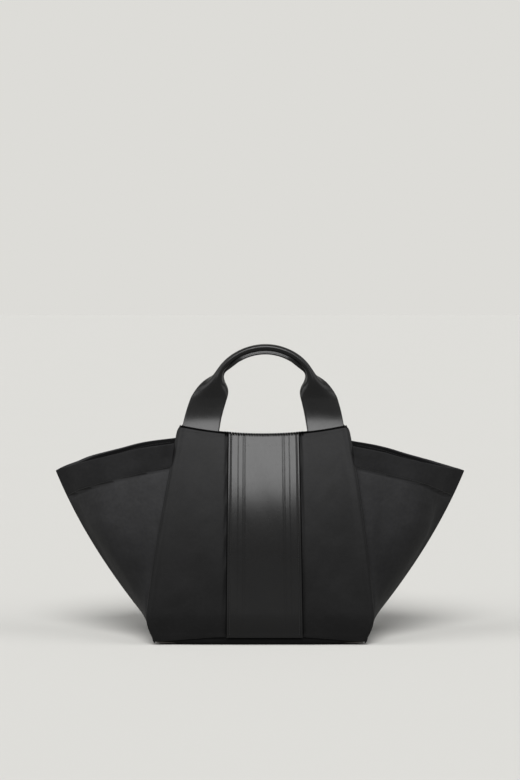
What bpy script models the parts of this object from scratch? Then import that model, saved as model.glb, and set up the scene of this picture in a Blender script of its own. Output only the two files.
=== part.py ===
"""Winged shopper bag: cloth panels on a turned-up base, folded side wings, a leather front band,
two rolled leather handles, a lining, a magnetic snap and an inner zip pocket.

Metres, +Z up, the front faces -Y, and the origin is the middle of the base where it rests.
"""

import math

import bmesh
import bpy
from mathutils import Vector

# Body outline, from the floor up
FOOT_WIDTH = 0.222
FOOT_DEPTH = 0.130
BASE_SEAM_HEIGHT = 0.0085
BASE_SEAM_WIDTH = 0.231
BASE_SEAM_DEPTH = 0.141
BELLY_HEIGHT = 0.031
BELLY_WIDTH = 0.243
BELLY_DEPTH = 0.150
PANEL_HEIGHT = 0.2345
MOUTH_WIDTH = 0.1835
MOUTH_DEPTH = 0.050
MOUTH_DIP = 0.0100
PANEL_CORNER_RADIUS = 0.005
SIDE_SEAM_BULGE = 0.004
PANEL_LEAN_BULGE = 0.016
FRONT_BOW = 0.004

# Side wings, folded along their middle
WING_SPAN = 0.450
WING_TIP_HEIGHT = 0.1835
WING_ROOT_HEIGHT = 0.2140
WING_TOP_CROWN = 0.0015
WING_EDGE_BULGE = 0.008
WING_BOW = 0.020
FOLD_START_HEIGHT = 0.020
FOLD_START_WIDTH = 0.252
BASE_END_BOW = 0.002
HEM_HEIGHT = 0.032

# Layers, counted inwards from the outer face
CLOTH = 0.0018
LEATHER = 0.0014
FACING_CLOTH = 0.0010
LINING_CLOTH = 0.0006
LAYER_GAP = 0.0003
SEAM_GAP = 0.0004
BOARD = 0.0020
BOARD_MARGIN = 0.0015
FACING_SETBACK = 0.001

# Leather band down the front
BAND_TOP_WIDTH = 0.0765
BAND_BASE_WIDTH = 0.0820
BAND_LEATHER = 0.0012

# Rolled handles
HANDLE_SPACING = 0.1345
HANDLE_WIDTH = 0.0410
HINGE_HEIGHT = 0.2380
HANDLE_RISE = 0.0815
HANDLE_LEAN = math.radians(9)
STRAP_SLOPE = math.radians(14)
SQUARE_START = 0.0200
SQUARE_LENGTH = 0.0700
ROLL_START = 0.0320
ROLL_LENGTH = 0.0280
ROLL_BEND = math.radians(150)
TURN_START = 0.0380
TURN_LENGTH = 0.0320
GRIP_RADIUS = 0.0030
GRIP_FLANGE = 0.0029
GRIP_NECK_ANGLE = math.radians(50)
CORE_SETBACK = 0.0020
TAB_DEPTH = 0.0370
TAB_SPREAD = 0.0055
TAB_CLEARANCE = 0.0014

# Magnetic snap in the middle of the mouth
SNAP_RADIUS = 0.009
SNAP_DROP = 0.021
SNAP_SOCKET_THICKNESS = 0.0030
SNAP_STUD_THICKNESS = 0.0020
SNAP_BOSS_RADIUS = 0.0034
SNAP_BOSS_HEIGHT = 0.0018
SNAP_HOLE_CLEARANCE = 0.0004
SNAP_EDGE_BEVEL = 0.0006
SNAP_WASHER = 0.0008

# Zip pocket in the back lining
POCKET_WIDTH = 0.160
POCKET_DEPTH = 0.090
POCKET_CLOTH = 0.0010
POCKET_SIDE_MARGIN = 0.010
ZIP_HEIGHT = 0.158
ZIP_LENGTH = POCKET_WIDTH - 2 * POCKET_SIDE_MARGIN
ZIP_TAPE_WIDTH = 0.0036
ZIP_SPLIT = 0.0012
COIL_WIDTH = 0.0016
COIL_HEIGHT = 0.0012
COIL_NOTCH = 0.0004
COIL_PITCH = 0.0024
SLIDER_LENGTH = 0.0090
SLIDER_WIDTH = 0.0080
SLIDER_PLATE = 0.0008
SLIDER_POST_LENGTH = 0.0020
SLIDER_POST_THICKNESS = 0.0006
SLIDER_FLANGE = 0.0009
SLIDER_END_MARGIN = 0.003
BAIL_LENGTH = 0.0060
BAIL_WIDTH = 0.0014
BAIL_BAR = 0.0008
PULL_LENGTH = 0.0200
PULL_WIDTH = 0.0060
PULL_THICKNESS = 0.0008
PULL_WINDOW_WIDTH = 0.0032
PULL_WINDOW_LENGTH = 0.0036
SLOT_CLEARANCE = 0.0004

# How finely the shapes are cut
PANEL_COLUMNS = 20
PANEL_ROWS = 7
BAND_COLUMNS = 8
WING_COLUMNS = 8
FACING_ROWS = 3
FACING_COLUMNS = 12
LINING_PANEL_COLUMNS = 8
POCKET_ROWS = 4
TAB_ROWS = 5
LINING_ROWS = 6
TURN_UP_STEPS = 5
SECTION_STEPS = 7
STRAP_STEPS = 3
FLARE_STEPS = 11
ARCH_STEPS = 6
CORE_STEPS = 9
CORE_SIDES = 8
ROUND_SEGMENTS = 24
STRAP_END_ANGLES = (math.radians(75), math.radians(40))
SHARP_ANGLE = math.radians(35)
CUT_OVERRUN = 0.002

FRONT, BACK = -1, 1
LEFT, RIGHT = -1, 1
LINING_INSET = CLOTH + LEATHER + 2 * LAYER_GAP


def clear_scene():
    for old in list(bpy.data.objects):
        bpy.data.objects.remove(old)


def material(name, colour, roughness, metallic=0.0):
    made = bpy.data.materials.new(name)
    made.use_nodes = True
    shader = made.node_tree.nodes["Principled BSDF"]
    shader.inputs["Base Color"].default_value = (*colour, 1.0)
    shader.inputs["Roughness"].default_value = roughness
    shader.inputs["Metallic"].default_value = metallic
    return made


def mix(start, end, share):
    return start + (end - start) * share


def share_of(value, start, end):
    return (value - start) / (end - start)


def bulged(start, end, bulge, share):
    """From start to end, standing out by bulge half way along."""
    return mix(start, end, share) + 4 * bulge * share * (1 - share)


def eased(share):
    held = min(max(share, 0.0), 1.0)
    return held * held * (3 - 2 * held)


# Solids made from rings of points

def add_object(name, mesh, finish):
    made = bpy.data.objects.new(name, mesh)
    mesh.materials.append(finish)
    bpy.context.scene.collection.objects.link(made)
    return made


def skin(name, points, faces, finish):
    """A mesh whose twisted quads are split the short way, so that both faces of a sheet are split alike."""
    mesh = bpy.data.meshes.new(name)
    mesh.from_pydata(points, [], faces)
    shape = bmesh.new()
    shape.from_mesh(mesh)
    bmesh.ops.recalc_face_normals(shape, faces=shape.faces)
    bmesh.ops.triangulate(shape, faces=shape.faces, quad_method="SHORT_EDGE")
    shape.to_mesh(mesh)
    shape.free()
    mesh.shade_smooth()
    mesh.set_sharp_from_angle(angle=SHARP_ANGLE)
    return add_object(name, mesh, finish)


def loft(name, rings, finish, flat_ends=False, open_top=False):
    """A skin through equal rings. An end is one flat face, or strips across a thin ring."""
    count = len(rings[0])
    points = [point for ring in rings for point in ring]
    faces = []
    for ring in range(len(rings) - 1):
        first = ring * count
        for k in range(count):
            after = (k + 1) % count
            faces.append((first + k, first + after, first + count + after, first + count + k))
    for first in (0,) if open_top else (0, (len(rings) - 1) * count):
        if flat_ends:
            faces.append(tuple(range(first, first + count)))
            continue
        last = first + count - 1
        faces += [(first + k, first + k + 1, last - k - 1, last - k) for k in range(count // 2 - 1)]
    return skin(name, points, faces, finish)


def sheet(name, outer_rows, inner_rows, finish):
    """A thin solid between two grids of points."""
    rings = [outer + inner[::-1] for outer, inner in zip(outer_rows, inner_rows)]
    return loft(name, rings, finish)


# Shape of the bag at each height

def turned_up(foot, seam, z):
    """The base's quarter ellipse, from its flat foot up to its seam."""
    down = share_of(z, BASE_SEAM_HEIGHT, 0)
    return mix(foot, seam, math.sqrt(max(0.0, 1 - down * down)))


def half_size(z, foot, seam, belly, mouth, bulge):
    if z < BASE_SEAM_HEIGHT:
        return turned_up(foot, seam, z) / 2
    if z < BELLY_HEIGHT:
        return mix(seam, belly, share_of(z, BASE_SEAM_HEIGHT, BELLY_HEIGHT)) / 2
    return bulged(belly, mouth, bulge, share_of(z, BELLY_HEIGHT, PANEL_HEIGHT)) / 2


def half_width(z):
    return half_size(z, FOOT_WIDTH, BASE_SEAM_WIDTH, BELLY_WIDTH, MOUTH_WIDTH, SIDE_SEAM_BULGE)


def half_depth(z):
    return half_size(z, FOOT_DEPTH, BASE_SEAM_DEPTH, BELLY_DEPTH, MOUTH_DEPTH, PANEL_LEAN_BULGE)


def fold_reach(z):
    """How far out the fold in the middle of a side lies."""
    if z <= BASE_SEAM_HEIGHT:
        return half_width(z) + BASE_END_BOW
    if z <= FOLD_START_HEIGHT:
        up = share_of(z, BASE_SEAM_HEIGHT, FOLD_START_HEIGHT)
        return mix(BASE_SEAM_WIDTH / 2 + BASE_END_BOW, FOLD_START_WIDTH / 2, up)
    up = share_of(z, FOLD_START_HEIGHT, WING_TIP_HEIGHT)
    return bulged(FOLD_START_WIDTH / 2, WING_SPAN / 2, WING_EDGE_BULGE, up)


def panel_top(across):
    """Height of a panel's top edge, where across runs from -1 to 1 between its corners."""
    height = PANEL_HEIGHT - MOUTH_DIP * (1 - across * across)
    into_corner = PANEL_CORNER_RADIUS - (1 - abs(across)) * MOUTH_WIDTH / 2
    if into_corner > 0:
        height -= PANEL_CORNER_RADIUS - math.sqrt(PANEL_CORNER_RADIUS**2 - into_corner**2)
    return height


def wing_top(out):
    """Height of a wing's top edge, where out runs from 0 at the panel to 1 at the tip."""
    return bulged(WING_ROOT_HEIGHT, WING_TIP_HEIGHT, WING_TOP_CROWN, out)


def corner_x(z, inset):
    """Where a panel and a gusset meet once both are moved in by inset."""
    width, depth, reach = half_width(z), half_depth(z), fold_reach(z) - half_width(z)
    run = math.hypot(reach, depth)
    along = inset * (run - reach) / depth
    return width - inset * depth / run + along * reach / run


def panel_point(side, x, z, inset):
    """A point of the front or back face. Only the front is bowed, because the zip keeps the back flat."""
    bow = 0.0
    if side == FRONT:
        up = min(max(share_of(z, BASE_SEAM_HEIGHT, PANEL_HEIGHT), 0.0), 1.0)
        across = min(abs(x) / half_width(z), 1.0)
        bow = FRONT_BOW * math.sin(math.pi * up) * (1 - across * across)
    return Vector((x, side * (half_depth(z) + bow - inset), z))


def wing_point(hand, side, out, z, inset, seam_gap=0.0, fold_gap=0.0):
    """A point of a half gusset, where out runs from 0 at the panel seam to 1 at the fold."""
    width, depth, reach = half_width(z), half_depth(z), fold_reach(z) - half_width(z)
    run = math.hypot(reach, depth)
    start = inset * (run - reach) / depth + seam_gap
    end = ((depth - fold_gap) * run - inset * reach) / depth
    along = mix(start, end, out)
    bow = WING_BOW * math.sin(math.pi * out) ** 2 * eased(share_of(z, BELLY_HEIGHT, WING_TIP_HEIGHT))
    x = width + (bow - inset) * depth / run + along * reach / run
    y = depth + (bow - inset) * reach / run - along * depth / run
    return Vector((hand * x, side * y, z))


def levels(bottom, top, rows):
    """Heights from bottom to top, with the heights where the shape changes between them."""
    breaks = [z for z in (FOLD_START_HEIGHT, BELLY_HEIGHT) if z > bottom]
    start = breaks[-1] if breaks else bottom
    return [bottom, *breaks] + [mix(start, top, (row + 1) / rows) for row in range(rows)]


def crowded(columns):
    """Shares from -1 to 1 that crowd towards both ends, where the corners are rounded."""
    return [math.sin(math.pi / 2 * (2 * k / columns - 1)) for k in range(columns + 1)]


def by_row(columns_of_points):
    return [list(row) for row in zip(*columns_of_points)]


# Outer shell

def panel_grid(side, inset, bottom, drop, gap, columns, rows):
    grid = []
    for across in crowded(columns):
        heights = levels(bottom, panel_top(across) - drop, rows)
        grid.append([panel_point(side, across * (corner_x(z, inset) - gap), z, inset) for z in heights])
    return by_row(grid)


def make_panel(name, side, cloth):
    bottom = BASE_SEAM_HEIGHT + LAYER_GAP
    faces = [
        panel_grid(side, inset, bottom, 0.0, SEAM_GAP / 2, PANEL_COLUMNS, PANEL_ROWS)
        for inset in (0.0, CLOTH)
    ]
    sheet(name, *faces, cloth)


def gusset_grid(hand, side, inset):
    grid = []
    for column in range(WING_COLUMNS + 1):
        out = column / WING_COLUMNS
        heights = levels(BASE_SEAM_HEIGHT + LAYER_GAP, wing_top(out), PANEL_ROWS)
        grid.append([wing_point(hand, side, out, z, inset, SEAM_GAP / 2, SEAM_GAP / 2) for z in heights])
    return by_row(grid)


def make_gusset(name, hand, side, cloth):
    sheet(name, gusset_grid(hand, side, 0.0), gusset_grid(hand, side, CLOTH), cloth)


def ring_stations(panel_columns):
    """Places round the bag, from the left fold along the front to the right fold and back behind."""
    outwards = [column / WING_COLUMNS for column in range(WING_COLUMNS + 1)]
    across = [2 * column / panel_columns - 1 for column in range(1, panel_columns)]
    stations = [("wing", LEFT, FRONT, out) for out in reversed(outwards)]
    stations += [("panel", 0, FRONT, place) for place in across]
    stations += [("wing", RIGHT, FRONT, out) for out in outwards]
    stations += [("wing", RIGHT, BACK, out) for out in reversed(outwards[:-1])]
    stations += [("panel", 0, BACK, place) for place in reversed(across)]
    stations += [("wing", LEFT, BACK, out) for out in outwards[:-1]]
    return stations


def ring_point(station, z, inset):
    kind, hand, side, place = station
    if kind == "wing":
        return wing_point(hand, side, place, z, inset)
    return panel_point(side, place * corner_x(z, inset), z, inset)


def make_base_panel(cloth):
    """A shallow tray whose edge turns up to the base seam."""
    corners = [s for s in ring_stations(2) if s[0] == "wing" and s[3] in (0.0, 1.0)]
    rings = []
    for inset, order in ((0.0, 1), (CLOTH, -1)):
        heights = []
        for step in range(TURN_UP_STEPS + 1):
            turn = math.pi / 2 * step / TURN_UP_STEPS
            heights.append(mix(BASE_SEAM_HEIGHT, inset, math.cos(turn)))
        rings += [[ring_point(s, z, inset) for s in corners] for z in heights[::order]]
    loft("base_panel", rings, cloth, flat_ends=True)


def make_base_board(board):
    bottom = CLOTH + LAYER_GAP
    inset = CLOTH + BOARD_MARGIN
    corners = [s for s in ring_stations(2) if s[0] == "wing" and s[3] in (0.0, 1.0)]
    outline = [ring_point(s, bottom, inset) for s in corners]
    rise = Vector((0, 0, BOARD))
    loft("base_board", [outline, [point + rise for point in outline]], board, flat_ends=True)


# Leather band

def make_front_band(leather):
    grids = []
    for inset in (-LAYER_GAP - BAND_LEATHER, -LAYER_GAP):
        grid = []
        for column in range(BAND_COLUMNS + 1):
            place = 2 * column / BAND_COLUMNS - 1
            top = panel_top(place * BAND_TOP_WIDTH / MOUTH_WIDTH)
            points = []
            for z in levels(BASE_SEAM_HEIGHT + LAYER_GAP, top, PANEL_ROWS):
                width = mix(BAND_BASE_WIDTH, BAND_TOP_WIDTH, share_of(z, BASE_SEAM_HEIGHT, PANEL_HEIGHT))
                points.append(panel_point(FRONT, width / 2 * place, z, inset))
            grid.append(points)
        grids.append(by_row(grid))
    sheet("front_band", *grids, leather)


# Inside of the mouth, and the lining

def make_panel_facing(name, side, cloth):
    bottom = WING_ROOT_HEIGHT - HEM_HEIGHT + LAYER_GAP
    faces = [
        panel_grid(side, inset, bottom, FACING_SETBACK, SEAM_GAP / 2, FACING_COLUMNS, FACING_ROWS)
        for inset in (LINING_INSET, LINING_INSET + FACING_CLOTH)
    ]
    sheet(name, *faces, cloth)


def wing_facing_grid(hand, inset):
    grid = []
    outwards = [column / WING_COLUMNS for column in range(WING_COLUMNS + 1)]
    for side, places in ((FRONT, outwards), (BACK, outwards[-2::-1])):
        for out in places:
            top = wing_top(out) - FACING_SETBACK
            heights = levels(wing_top(out) - HEM_HEIGHT + LAYER_GAP, top, FACING_ROWS)
            grid.append([wing_point(hand, side, out, z, inset, SEAM_GAP / 2) for z in heights])
    return by_row(grid)


def make_wing_facing(name, hand, cloth):
    outer = wing_facing_grid(hand, LINING_INSET)
    inner = wing_facing_grid(hand, LINING_INSET + FACING_CLOTH)
    sheet(name, outer, inner, cloth)


def lining_top(station):
    """The lining ends its own thickness below the facings, because its edge tilts with its walls."""
    kind, _, _, place = station
    return (wing_top(place) if kind == "wing" else WING_ROOT_HEIGHT) - HEM_HEIGHT - LINING_CLOTH


def make_lining(cloth):
    """One sewn cup that hangs from the facings and lies on the base board."""
    floor = CLOTH + BOARD + 2 * LAYER_GAP
    walls = []
    for station in ring_stations(LINING_PANEL_COLUMNS):
        heights = levels(floor, lining_top(station), LINING_ROWS)
        walls.append([ring_point(station, z, LINING_INSET) for z in heights])
    lining = loft("lining", by_row(walls), cloth, flat_ends=True, open_top=True)
    thickness = lining.modifiers.new("cloth", "SOLIDIFY")
    thickness.thickness = LINING_CLOTH
    thickness.use_even_offset = True
    return lining


# Rolled handles

def grip_half_profile():
    """Lengths along the rolled section, from its middle to its stitched edge, where its bend changes."""
    round_length = GRIP_RADIUS * (math.pi / 2 + GRIP_NECK_ANGLE)
    edge = (LEATHER + LAYER_GAP) / 2
    neck_length = (GRIP_RADIUS * math.cos(GRIP_NECK_ANGLE) - edge) / math.sin(GRIP_NECK_ANGLE)
    return round_length, round_length + neck_length, round_length + neck_length + GRIP_FLANGE


def rolled_angle(length):
    """Direction of the closed section at a length from its middle."""
    round_end, neck_end, _ = grip_half_profile()
    if length <= round_end:
        return length / GRIP_RADIUS
    return math.pi / 2 + (GRIP_NECK_ANGLE if length <= neck_end else 0.0)


def strap_section(roll, width):
    """The strap's section as (across, out, direction), from flat at roll 0 to a closed tube at roll 1."""
    full = grip_half_profile()[2]
    step = width / 2 / SECTION_STEPS
    half = [(0.0, 0.0, 0.0)]
    for k in range(SECTION_STEPS):
        share = (k + 0.5) / SECTION_STEPS
        angle = roll * mix(ROLL_BEND * share, rolled_angle(share * full), roll)
        across, out, _ = half[-1]
        half.append((across + step * math.cos(angle), out - step * math.sin(angle), angle))
    turns = [point[2] for point in half[1:]]
    smooth = [0.0] + [(a + b) / 2 for a, b in zip(turns, turns[1:])] + [turns[-1]]
    depth = sum(point[1] for point in half[1:]) / SECTION_STEPS
    shift = mix(-depth, GRIP_RADIUS, roll)
    right = [(across, out + shift, turn) for (across, out, _), turn in zip(half, smooth)]
    left = [(-across, out, -turn) for across, out, turn in reversed(right[1:])]
    return left + right


def handle_curve():
    """The arch's radius, the straight strap's length below it, and half the handle's whole length."""
    radius = HANDLE_SPACING / 2 * math.cos(STRAP_SLOPE) - HANDLE_RISE * math.sin(STRAP_SLOPE)
    radius /= 1 - math.sin(STRAP_SLOPE)
    straight = (HANDLE_RISE - radius * (1 - math.sin(STRAP_SLOPE))) / math.cos(STRAP_SLOPE)
    return radius, straight, straight + radius * (math.pi / 2 - STRAP_SLOPE)


def handle_path(length):
    """(across, up) of the strap's middle at a length from its hinge, and its direction."""
    radius, straight, _ = handle_curve()
    slope = STRAP_SLOPE + max(0.0, length - straight) / radius
    if length < straight:
        x, h = HANDLE_SPACING / 2 - length * math.sin(slope), length * math.cos(slope)
    else:
        x, h = radius * math.cos(slope), HANDLE_RISE - radius * (1 - math.sin(slope))
    return x, h, -math.sin(slope), math.cos(slope)


def handle_lengths():
    """Lengths from the hinge to the crown, closest together where the strap rolls up."""
    stops = (0.0, ROLL_START, TURN_START + TURN_LENGTH, handle_curve()[2])
    lengths = [stops[0]]
    for start, end, steps in zip(stops, stops[1:], (STRAP_STEPS, FLARE_STEPS, ARCH_STEPS)):
        lengths += [mix(start, end, (step + 1) / steps) for step in range(steps)]
    return lengths


def strap_inset():
    return CLOTH + LAYER_GAP + LEATHER / 2


def handle_axes(side):
    """The hinge point in the middle of the handle, and the handle's front and up directions."""
    origin = Vector((0, side * (half_depth(HINGE_HEIGHT) - strap_inset()), HINGE_HEIGHT))
    face = Vector((0, side * math.cos(HANDLE_LEAN), math.sin(HANDLE_LEAN)))
    up = Vector((0, -side * math.sin(HANDLE_LEAN), math.cos(HANDLE_LEAN)))
    return origin, face, up


def strap_ring(side, length, end_angle=0.0):
    """The strap's section at a length from its hinge, or on its half-round end below the hinge."""
    origin, face, up = handle_axes(side)
    x, h, along_x, along_h = handle_path(length)
    roll = eased(share_of(length, ROLL_START, ROLL_START + ROLL_LENGTH))
    turn = math.pi / 2 * eased(share_of(length, TURN_START, TURN_START + TURN_LENGTH))
    width = mix(HANDLE_WIDTH, 2 * grip_half_profile()[2], roll)
    sideways = Vector((1, 0, 0))
    square = sideways * along_h - up * along_x
    outward = sideways.lerp(square, eased(share_of(length, SQUARE_START, SQUARE_START + SQUARE_LENGTH)))
    outward.normalize()
    out = face * math.cos(turn) + outward * math.sin(turn)
    across = outward * math.cos(turn) - face * math.sin(turn)
    middle = origin + sideways * x + up * (h - LEATHER / 2 * math.sin(end_angle))
    half_thickness = LEATHER / 2 * math.cos(end_angle)
    outer, inner = [], []
    for place, depth, angle in strap_section(roll, width):
        normal = out * math.cos(angle) + across * math.sin(angle)
        point = middle + across * place + out * depth
        outer.append(point + normal * half_thickness)
        inner.append(point - normal * half_thickness)
    return outer + inner[::-1]


def both_halves(rings):
    """Rings from the right hinge up to the crown, and their mirror image down to the left hinge."""
    mirrored = [[Vector((-p.x, p.y, p.z)) for p in ring] for ring in rings[-2::-1]]
    return rings + mirrored


def make_handle(name, side, leather):
    rings = [strap_ring(side, 0.0, angle) for angle in STRAP_END_ANGLES]
    rings += [strap_ring(side, length) for length in handle_lengths()]
    loft(name, both_halves(rings), leather)


def make_handle_core(name, side, cord):
    """The cord that the grip is rolled round."""
    origin, face, up = handle_axes(side)
    radius = GRIP_RADIUS - LEATHER / 2 - LAYER_GAP
    start, end = ROLL_START + ROLL_LENGTH + CORE_SETBACK, handle_curve()[2]
    rings = []
    for step in range(CORE_STEPS + 1):
        x, h, along_x, along_h = handle_path(mix(start, end, step / CORE_STEPS))
        outward = Vector((along_h, 0, 0)) - up * along_x
        middle = origin + Vector((x, 0, 0)) + up * h
        turns = [2 * math.pi * k / CORE_SIDES for k in range(CORE_SIDES)]
        rings.append([middle + (outward * math.cos(a) + face * math.sin(a)) * radius for a in turns])
    loft(name, both_halves(rings), cord, flat_ends=True)


def make_tab(name, hand, side, leather):
    """The sewn-in end of a handle, between the panel and its facing."""
    top = HINGE_HEIGHT - TAB_CLEARANCE
    bottom = panel_top(HANDLE_SPACING / MOUTH_WIDTH) - TAB_DEPTH
    grids = []
    for inset in (CLOTH + LAYER_GAP, CLOTH + LAYER_GAP + LEATHER):
        grid = []
        for z in levels(bottom, top, TAB_ROWS):
            middle = HANDLE_SPACING / 2 + TAB_SPREAD * share_of(z, top, bottom)
            edges = [hand * (middle + end * HANDLE_WIDTH / 2) for end in (-1, 0, 1)]
            grid.append([panel_point(side, x, z, inset) for x in edges])
        grids.append(grid)
    sheet(name, *grids, leather)


# Small hardware

def block(name, low, high, finish, parent=None):
    """A box between two corners."""
    (x0, y0, z0), (x1, y1, z1) = low, high
    outline = ((x0, y0), (x1, y0), (x1, y1), (x0, y1))
    rings = [[Vector((x, y, z)) for x, y in outline] for z in (z0, z1)]
    made = loft(name, rings, finish, flat_ends=True)
    made.parent = parent
    return made


def disc(name, radius, low, high, finish, parent=None):
    """A round plate from low to high along its own Y."""
    turns = [2 * math.pi * k / ROUND_SEGMENTS for k in range(ROUND_SEGMENTS)]
    rings = [[Vector((radius * math.cos(a), y, radius * math.sin(a))) for a in turns] for y in (low, high)]
    made = loft(name, rings, finish, flat_ends=True)
    made.parent = parent
    return made


def combine(target, operation, *others):
    """Joins other solids to target, or cuts them from it, and keeps them as hidden helpers."""
    for other in others:
        other.hide_render = True
        other.display_type = "WIRE"
        step = target.modifiers.new(other.name, "BOOLEAN")
        step.operation = operation
        step.solver = "EXACT"
        step.object = other


def soften(target, width):
    edge = target.modifiers.new("edge", "BEVEL")
    edge.width = width
    edge.segments = 1
    edge.limit_method = "ANGLE"


def wall_frame(name, side, z, inset):
    """An empty on a wall of the bag: its +Y points out through the wall and its +Z up along it."""
    frame = bpy.data.objects.new(name, None)
    bpy.context.scene.collection.objects.link(frame)
    low, high = (panel_point(side, 0.0, z + step, inset) for step in (-SNAP_RADIUS, SNAP_RADIUS))
    lean = math.atan2(side * (low.y - high.y), high.z - low.z)
    frame.location = (low + high) / 2
    frame.rotation_euler = (lean, 0, 0) if side == BACK else (lean, 0, math.pi)
    return frame


def make_snap(metal):
    height = PANEL_HEIGHT - MOUTH_DIP - SNAP_DROP
    inner_face = LINING_INSET + FACING_CLOTH + LAYER_GAP
    washer_face = LINING_INSET - LAYER_GAP

    back = wall_frame("snap_socket_place", BACK, height, inner_face)
    socket = disc("snap_socket", SNAP_RADIUS, -SNAP_SOCKET_THICKNESS, 0.0, metal, back)
    hole_radius = SNAP_BOSS_RADIUS + SNAP_HOLE_CLEARANCE
    hole_floor = SNAP_BOSS_HEIGHT + SNAP_HOLE_CLEARANCE - SNAP_SOCKET_THICKNESS
    hole = disc("socket_hole", hole_radius, -SNAP_SOCKET_THICKNESS - CUT_OVERRUN, hole_floor, metal, back)
    soften(socket, SNAP_EDGE_BEVEL)
    combine(socket, "DIFFERENCE", hole)

    front = wall_frame("snap_stud_place", FRONT, height, inner_face)
    stud = disc("snap_stud", SNAP_RADIUS, -SNAP_STUD_THICKNESS, 0.0, metal, front)
    boss_end = -SNAP_STUD_THICKNESS - SNAP_BOSS_HEIGHT
    boss = disc("stud_boss", SNAP_BOSS_RADIUS, boss_end, -SNAP_STUD_THICKNESS / 2, metal, front)
    soften(stud, SNAP_EDGE_BEVEL)
    combine(stud, "UNION", boss)

    for name, side in (("snap_socket_washer", BACK), ("snap_stud_washer", FRONT)):
        place = wall_frame(name + "_place", side, height, washer_face)
        disc(name, SNAP_RADIUS, 0.0, SNAP_WASHER, metal, place)


# Zip pocket: in the frame's axes the zip runs along X, +Z is up the wall and -Y is into the bag

def make_zip_half(name, hand, frame, tape):
    """One tape with its coil, which stands on the tape's inner edge as a row of ribs."""
    half_tape = LINING_CLOTH / 2
    inner, coil, outer = (ZIP_SPLIT / 2, ZIP_SPLIT / 2 + COIL_WIDTH, ZIP_SPLIT / 2 + ZIP_TAPE_WIDTH)
    steps = 2 * round(ZIP_LENGTH / COIL_PITCH)
    rings = []
    for step in range(steps + 1):
        x = mix(-ZIP_LENGTH / 2, ZIP_LENGTH / 2, step / steps)
        crest = -half_tape - COIL_HEIGHT + COIL_NOTCH * (step % 2)
        outline = (
            (inner, half_tape),
            (outer, half_tape),
            (outer, -half_tape),
            (coil, -half_tape),
            (coil, crest),
            (inner, crest),
        )
        rings.append([Vector((x, y, hand * z)) for z, y in outline])
    loft(name, rings, tape, flat_ends=True).parent = frame


def slider_levels():
    """Depths into the bag of the slider's front plate and its face, the pull's axis and the bail."""
    crest = LINING_CLOTH / 2 + COIL_HEIGHT
    plate = crest + LAYER_GAP
    face = plate + SLIDER_PLATE
    axis = face + LAYER_GAP + PULL_THICKNESS * math.sqrt(0.5)
    bail = axis + LAYER_GAP + PULL_THICKNESS * math.sqrt(0.5)
    return plate, face, axis, bail


def slider_rest_x():
    return -ZIP_LENGTH / 2 + SLIDER_LENGTH / 2 + SLIDER_END_MARGIN


def make_slider(frame, metal):
    """Two plates round the coils, held by a post that runs between the tapes, with a bail for the pull."""
    plate, face, _, bail = slider_levels()
    place = bpy.data.objects.new("slider_place", None)
    bpy.context.scene.collection.objects.link(place)
    place.parent = frame
    place.location = (slider_rest_x(), 0, 0)
    length, width = SLIDER_LENGTH / 2, SLIDER_WIDTH / 2
    behind = LINING_CLOTH / 2 + LAYER_GAP
    flange_in = ZIP_SPLIT / 2 + COIL_WIDTH + LAYER_GAP
    flange_end = LINING_CLOTH / 2 + LAYER_GAP
    post_start, thin = length - SLIDER_POST_LENGTH, SLIDER_POST_THICKNESS / 2
    bail_end, bail_half = BAIL_LENGTH / 2, BAIL_WIDTH / 2
    overlap = SLIDER_PLATE / 2
    slider = block("zip_slider", (-length, -face, -width), (length, -plate, width), metal, place)
    low, high = (-length, behind, -width), (length, behind + SLIDER_PLATE, width)
    parts = [block("slider_back", low, high, metal, place)]
    low, high = (post_start, -plate - overlap, -thin), (length, behind + overlap, thin)
    parts.append(block("slider_post", low, high, metal, place))
    for hand in (-1, 1):
        near, far = sorted((hand * flange_in, hand * (flange_in + SLIDER_FLANGE)))
        low, high = (-length, -plate - overlap, near), (length, -flange_end, far)
        parts.append(block(f"slider_flange_{hand}", low, high, metal, place))
        leg_near, leg_far = sorted((hand * (bail_end - BAIL_BAR), hand * bail_end))
        low, high = (leg_near, -bail - BAIL_BAR, -bail_half), (leg_far, -face + overlap, bail_half)
        parts.append(block(f"slider_leg_{hand}", low, high, metal, place))
    low, high = (-bail_end, -bail - BAIL_BAR, -bail_half), (bail_end, -bail, bail_half)
    parts.append(block("slider_bail", low, high, metal, place))
    combine(slider, "UNION", *parts)
    return place


def make_pull(slider_place, metal):
    """A flat tab whose end bar lies under the slider's bail."""
    axis = slider_levels()[2]
    place = bpy.data.objects.new("pull_place", None)
    bpy.context.scene.collection.objects.link(place)
    place.parent = slider_place
    place.location = (0, -axis, 0)
    half_bar, half_width = PULL_THICKNESS / 2, PULL_WIDTH / 2
    low, high = (-half_bar, -half_bar, -half_width), (PULL_LENGTH, half_bar, half_width)
    pull = block("zip_pull", low, high, metal, place)
    window_half = PULL_WINDOW_WIDTH / 2
    low = (half_bar, -half_bar - CUT_OVERRUN, -window_half)
    high = (half_bar + PULL_WINDOW_LENGTH, half_bar + CUT_OVERRUN, window_half)
    combine(pull, "DIFFERENCE", block("pull_window", low, high, metal, place))


def make_pocket_bag(cloth):
    """The pocket hangs flat behind the lining, from just under the slider."""
    top = ZIP_HEIGHT - SLIDER_WIDTH / 2 - LAYER_GAP
    heights = [mix(top - POCKET_DEPTH, top, row / POCKET_ROWS) for row in range(POCKET_ROWS + 1)]
    edges = (-POCKET_WIDTH / 2, POCKET_WIDTH / 2)
    near_lining = LINING_INSET - LAYER_GAP
    grids = []
    for inset in (near_lining - POCKET_CLOTH, near_lining):
        grids.append([[panel_point(BACK, x, z, inset) for x in edges] for z in heights])
    sheet("pocket_bag", *grids, cloth)


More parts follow.
